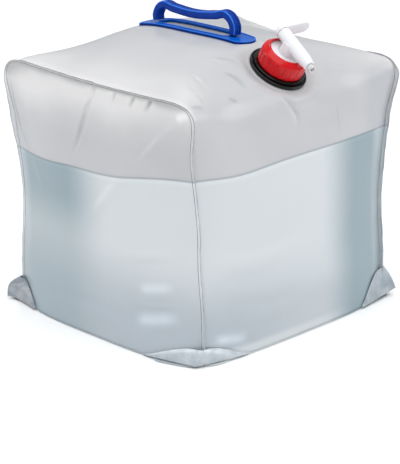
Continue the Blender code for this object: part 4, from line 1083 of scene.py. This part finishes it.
def rounded(profile, radius, steps=4):
    """A closed profile with each of its corners rounded, as far as its sides allow."""
    result = []
    count = len(profile)
    for i, point in enumerate(profile):
        p = np.array(point)
        before, after = np.array(profile[i - 1]) - p, np.array(profile[(i + 1) % count]) - p
        a = p + before * min(radius / np.linalg.norm(before), 0.48)
        b = p + after * min(radius / np.linalg.norm(after), 0.48)
        for j in range(steps + 1):
            t = j / steps
            result.append(a * (1 - t) ** 2 + 2 * p * t * (1 - t) + b * t * t)
    return np.array(result)


def lathe(name, profile, turn, material, steps=120, swell=None):
    """A ring turned round Z from a closed (radius, height) profile; swell moves its points out."""
    angle = np.linspace(0, 2 * pi, steps, endpoint=False)
    radius, height = (np.repeat(profile[:, [i]], steps, axis=1) for i in (0, 1))
    if swell is not None:
        radius = radius + swell(angle[None, :], radius, height)
    points = np.stack([radius * np.cos(angle), radius * np.sin(angle), height], -1)
    faces = quads_of(len(profile), steps, close_rows=True, close_cols=True)
    return mesh_piece(name, points, faces, material, turn)


# The gasket's outline in the neck's frame, in tenths of a millimetre: radius and height
GASKET_OUTLINE = [
    (199, 9), (310, 9), (310, 17), (305, 20), (310, 23), (310, 32), (303, 40), (293, 40), (288, 29), (199, 29),
]


def make_gasket():
    piece = lathe("gasket_ring", rounded(np.array(GASKET_OUTLINE) / 10000, 0.0005), NECK_FRAME, BLACK_RUBBER)
    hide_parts("neck_gasket")
    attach(piece, "top_fittings")


def ring_ribs(angle, radius, height):
    rib = smooth(np.cos(RING_RIBS * angle), -0.55, 0.1)
    band = smooth(height, 0.0066, 0.0085) * (1 - smooth(height, 0.0185, 0.0212))
    return RIB_HEIGHT * rib * band * (radius > RING_RADIUS - 0.0011)


def make_ring():
    skirt = [(RING_RADIUS, z) for z in (0.0063, *np.linspace(0.0075, 0.0200, 9), 0.0213)]
    top = [(0.0195, 0.0259), (0.0182, 0.0259), (0.0182, 0.0231), (0.0210, 0.0231)]
    outline = [(0.0210, 0.0063), *skirt, *top]
    piece = lathe("ring_detail", rounded(outline, 0.0007, 3), NECK_FRAME, RED_PLASTIC, 400, ring_ribs)
    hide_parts("screw_ring")
    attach(piece, "ring")


FLOOR_REACH = 9
FLOOR_DROP = 0.0003
SKY_STOPS = [(0.0, (0.32, 0.35, 0.37)), (0.30, (0.48, 0.50, 0.52)), (0.62, (0.66, 0.67, 0.68))]
SKY_STRENGTH = 0.93
SUN_POWER = 2.15
SUN_ANGLE = radians(70)
SUN_TURN = (radians(18), radians(-14), 0)
# Round lamps: name, place, target, size and power
LAMPS = [
    ("panel_back_left", (-1.6, 1.6, 1.1), (-0.15, 0, 0.1), 1.2, 9),
    ("panel_front_right", (1.6, -1.6, 1.1), (0, -0.15, 0.1), 1.2, 9),
    ("highlight", (0.35, 0.55, 1.5), (0, 0, 0.25), 0.16, 2.0),
]
# The photo's size and the place of the camera's axis in it, in pixels
PHOTO_WIDTH, PHOTO_HEIGHT = 400, 464
AXIS_X, AXIS_Y = 202, 175
FOCAL_PIXELS = 1500
SENSOR = 36
CAMERA_AZIMUTH = radians(-45)
CAMERA_ELEVATION = radians(15.8)
CAMERA_DISTANCE = 1.62
CAMERA_TARGET = Vector((0, 0, 0.14))


def make_floor():
    mesh = bpy.data.meshes.new("floor")
    corners = [(x * FLOOR_REACH, y * FLOOR_REACH, 0) for x, y in ((-1, -1), (1, -1), (1, 1), (-1, 1))]
    mesh.from_pydata(corners, [], [(0, 1, 2, 3)])
    mesh.materials.append(material_of("pale_floor", (0.93, 0.93, 0.93), 0.6)[0])
    floor = new_object("floor", mesh)
    floor.location.z = -FLOOR_DROP


def new_lamp(name, kind, power, turn):
    light = bpy.data.lights.new(name, kind)
    light.energy = power
    lamp = new_object(name, light)
    lamp.rotation_euler = turn
    lamp.visible_transmission = False
    return lamp


def make_studio():
    world = bpy.data.worlds.new("studio")
    world.use_nodes = True
    background = world.node_tree.nodes["Background"]
    coord = add_node(world, "TexCoord")
    split = add_node(world, "SeparateXYZ")
    link(coord.outputs["Generated"], split.inputs[0])
    tone = ramp_of(split.outputs["Z"], SKY_STOPS)
    link(tone, background.inputs["Color"])
    background.inputs["Strength"].default_value = SKY_STRENGTH
    bpy.context.scene.world = world
    bpy.context.scene.view_settings.view_transform = "Standard"
    new_lamp("sky_panel", "SUN", SUN_POWER, SUN_TURN).data.angle = SUN_ANGLE
    for name, place, target, size, power in LAMPS:
        turn = (Vector(target) - Vector(place)).to_track_quat("-Z", "Y").to_euler()
        lamp = new_lamp(name, "AREA", power, turn)
        lamp.location = place
        lamp.data.shape = "DISK"
        lamp.data.size = size


def make_camera():
    level = cos(CAMERA_ELEVATION)
    back = Vector((sin(CAMERA_AZIMUTH) * level, -cos(CAMERA_AZIMUTH) * level, sin(CAMERA_ELEVATION)))
    data = bpy.data.cameras.new("camera")
    data.lens = FOCAL_PIXELS / PHOTO_HEIGHT * SENSOR
    data.sensor_width = SENSOR
    data.shift_x = (PHOTO_WIDTH / 2 - AXIS_X) / PHOTO_HEIGHT
    data.shift_y = (AXIS_Y - PHOTO_HEIGHT / 2) / PHOTO_HEIGHT
    camera = new_object("camera", data)
    camera.location = CAMERA_TARGET + back * CAMERA_DISTANCE
    camera.rotation_euler = back.to_track_quat("Z", "Y").to_euler()
    bpy.context.scene.camera = camera


make_camera()
make_studio()
make_floor()
make_wrap()
make_end(-1)
make_end(1)
make_water()
make_weld(-1)
make_weld(1)
make_base()
for name, fold in FOLDS.items():
    make_corner_fold(name, *fold)
make_plate()
make_grip()
make_gasket()
make_ring()

LOOKS = {
    "neck_fitment": BLACK_PLASTIC,
    "neck_inner_nut": BLACK_PLASTIC,
    "tap_seal_washer": GREY_RUBBER,
    "tap_body": WHITE_PLASTIC,
    "tap_outlet": CLEAR_PLASTIC,
    "tap_plug": WHITE_PLASTIC,
    "plug_seal_front": BLACK_RUBBER,
    "plug_seal_rear": BLACK_RUBBER,
}
for node, look in LOOKS.items():
    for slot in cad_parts[node].material_slots:
        slot.material = look
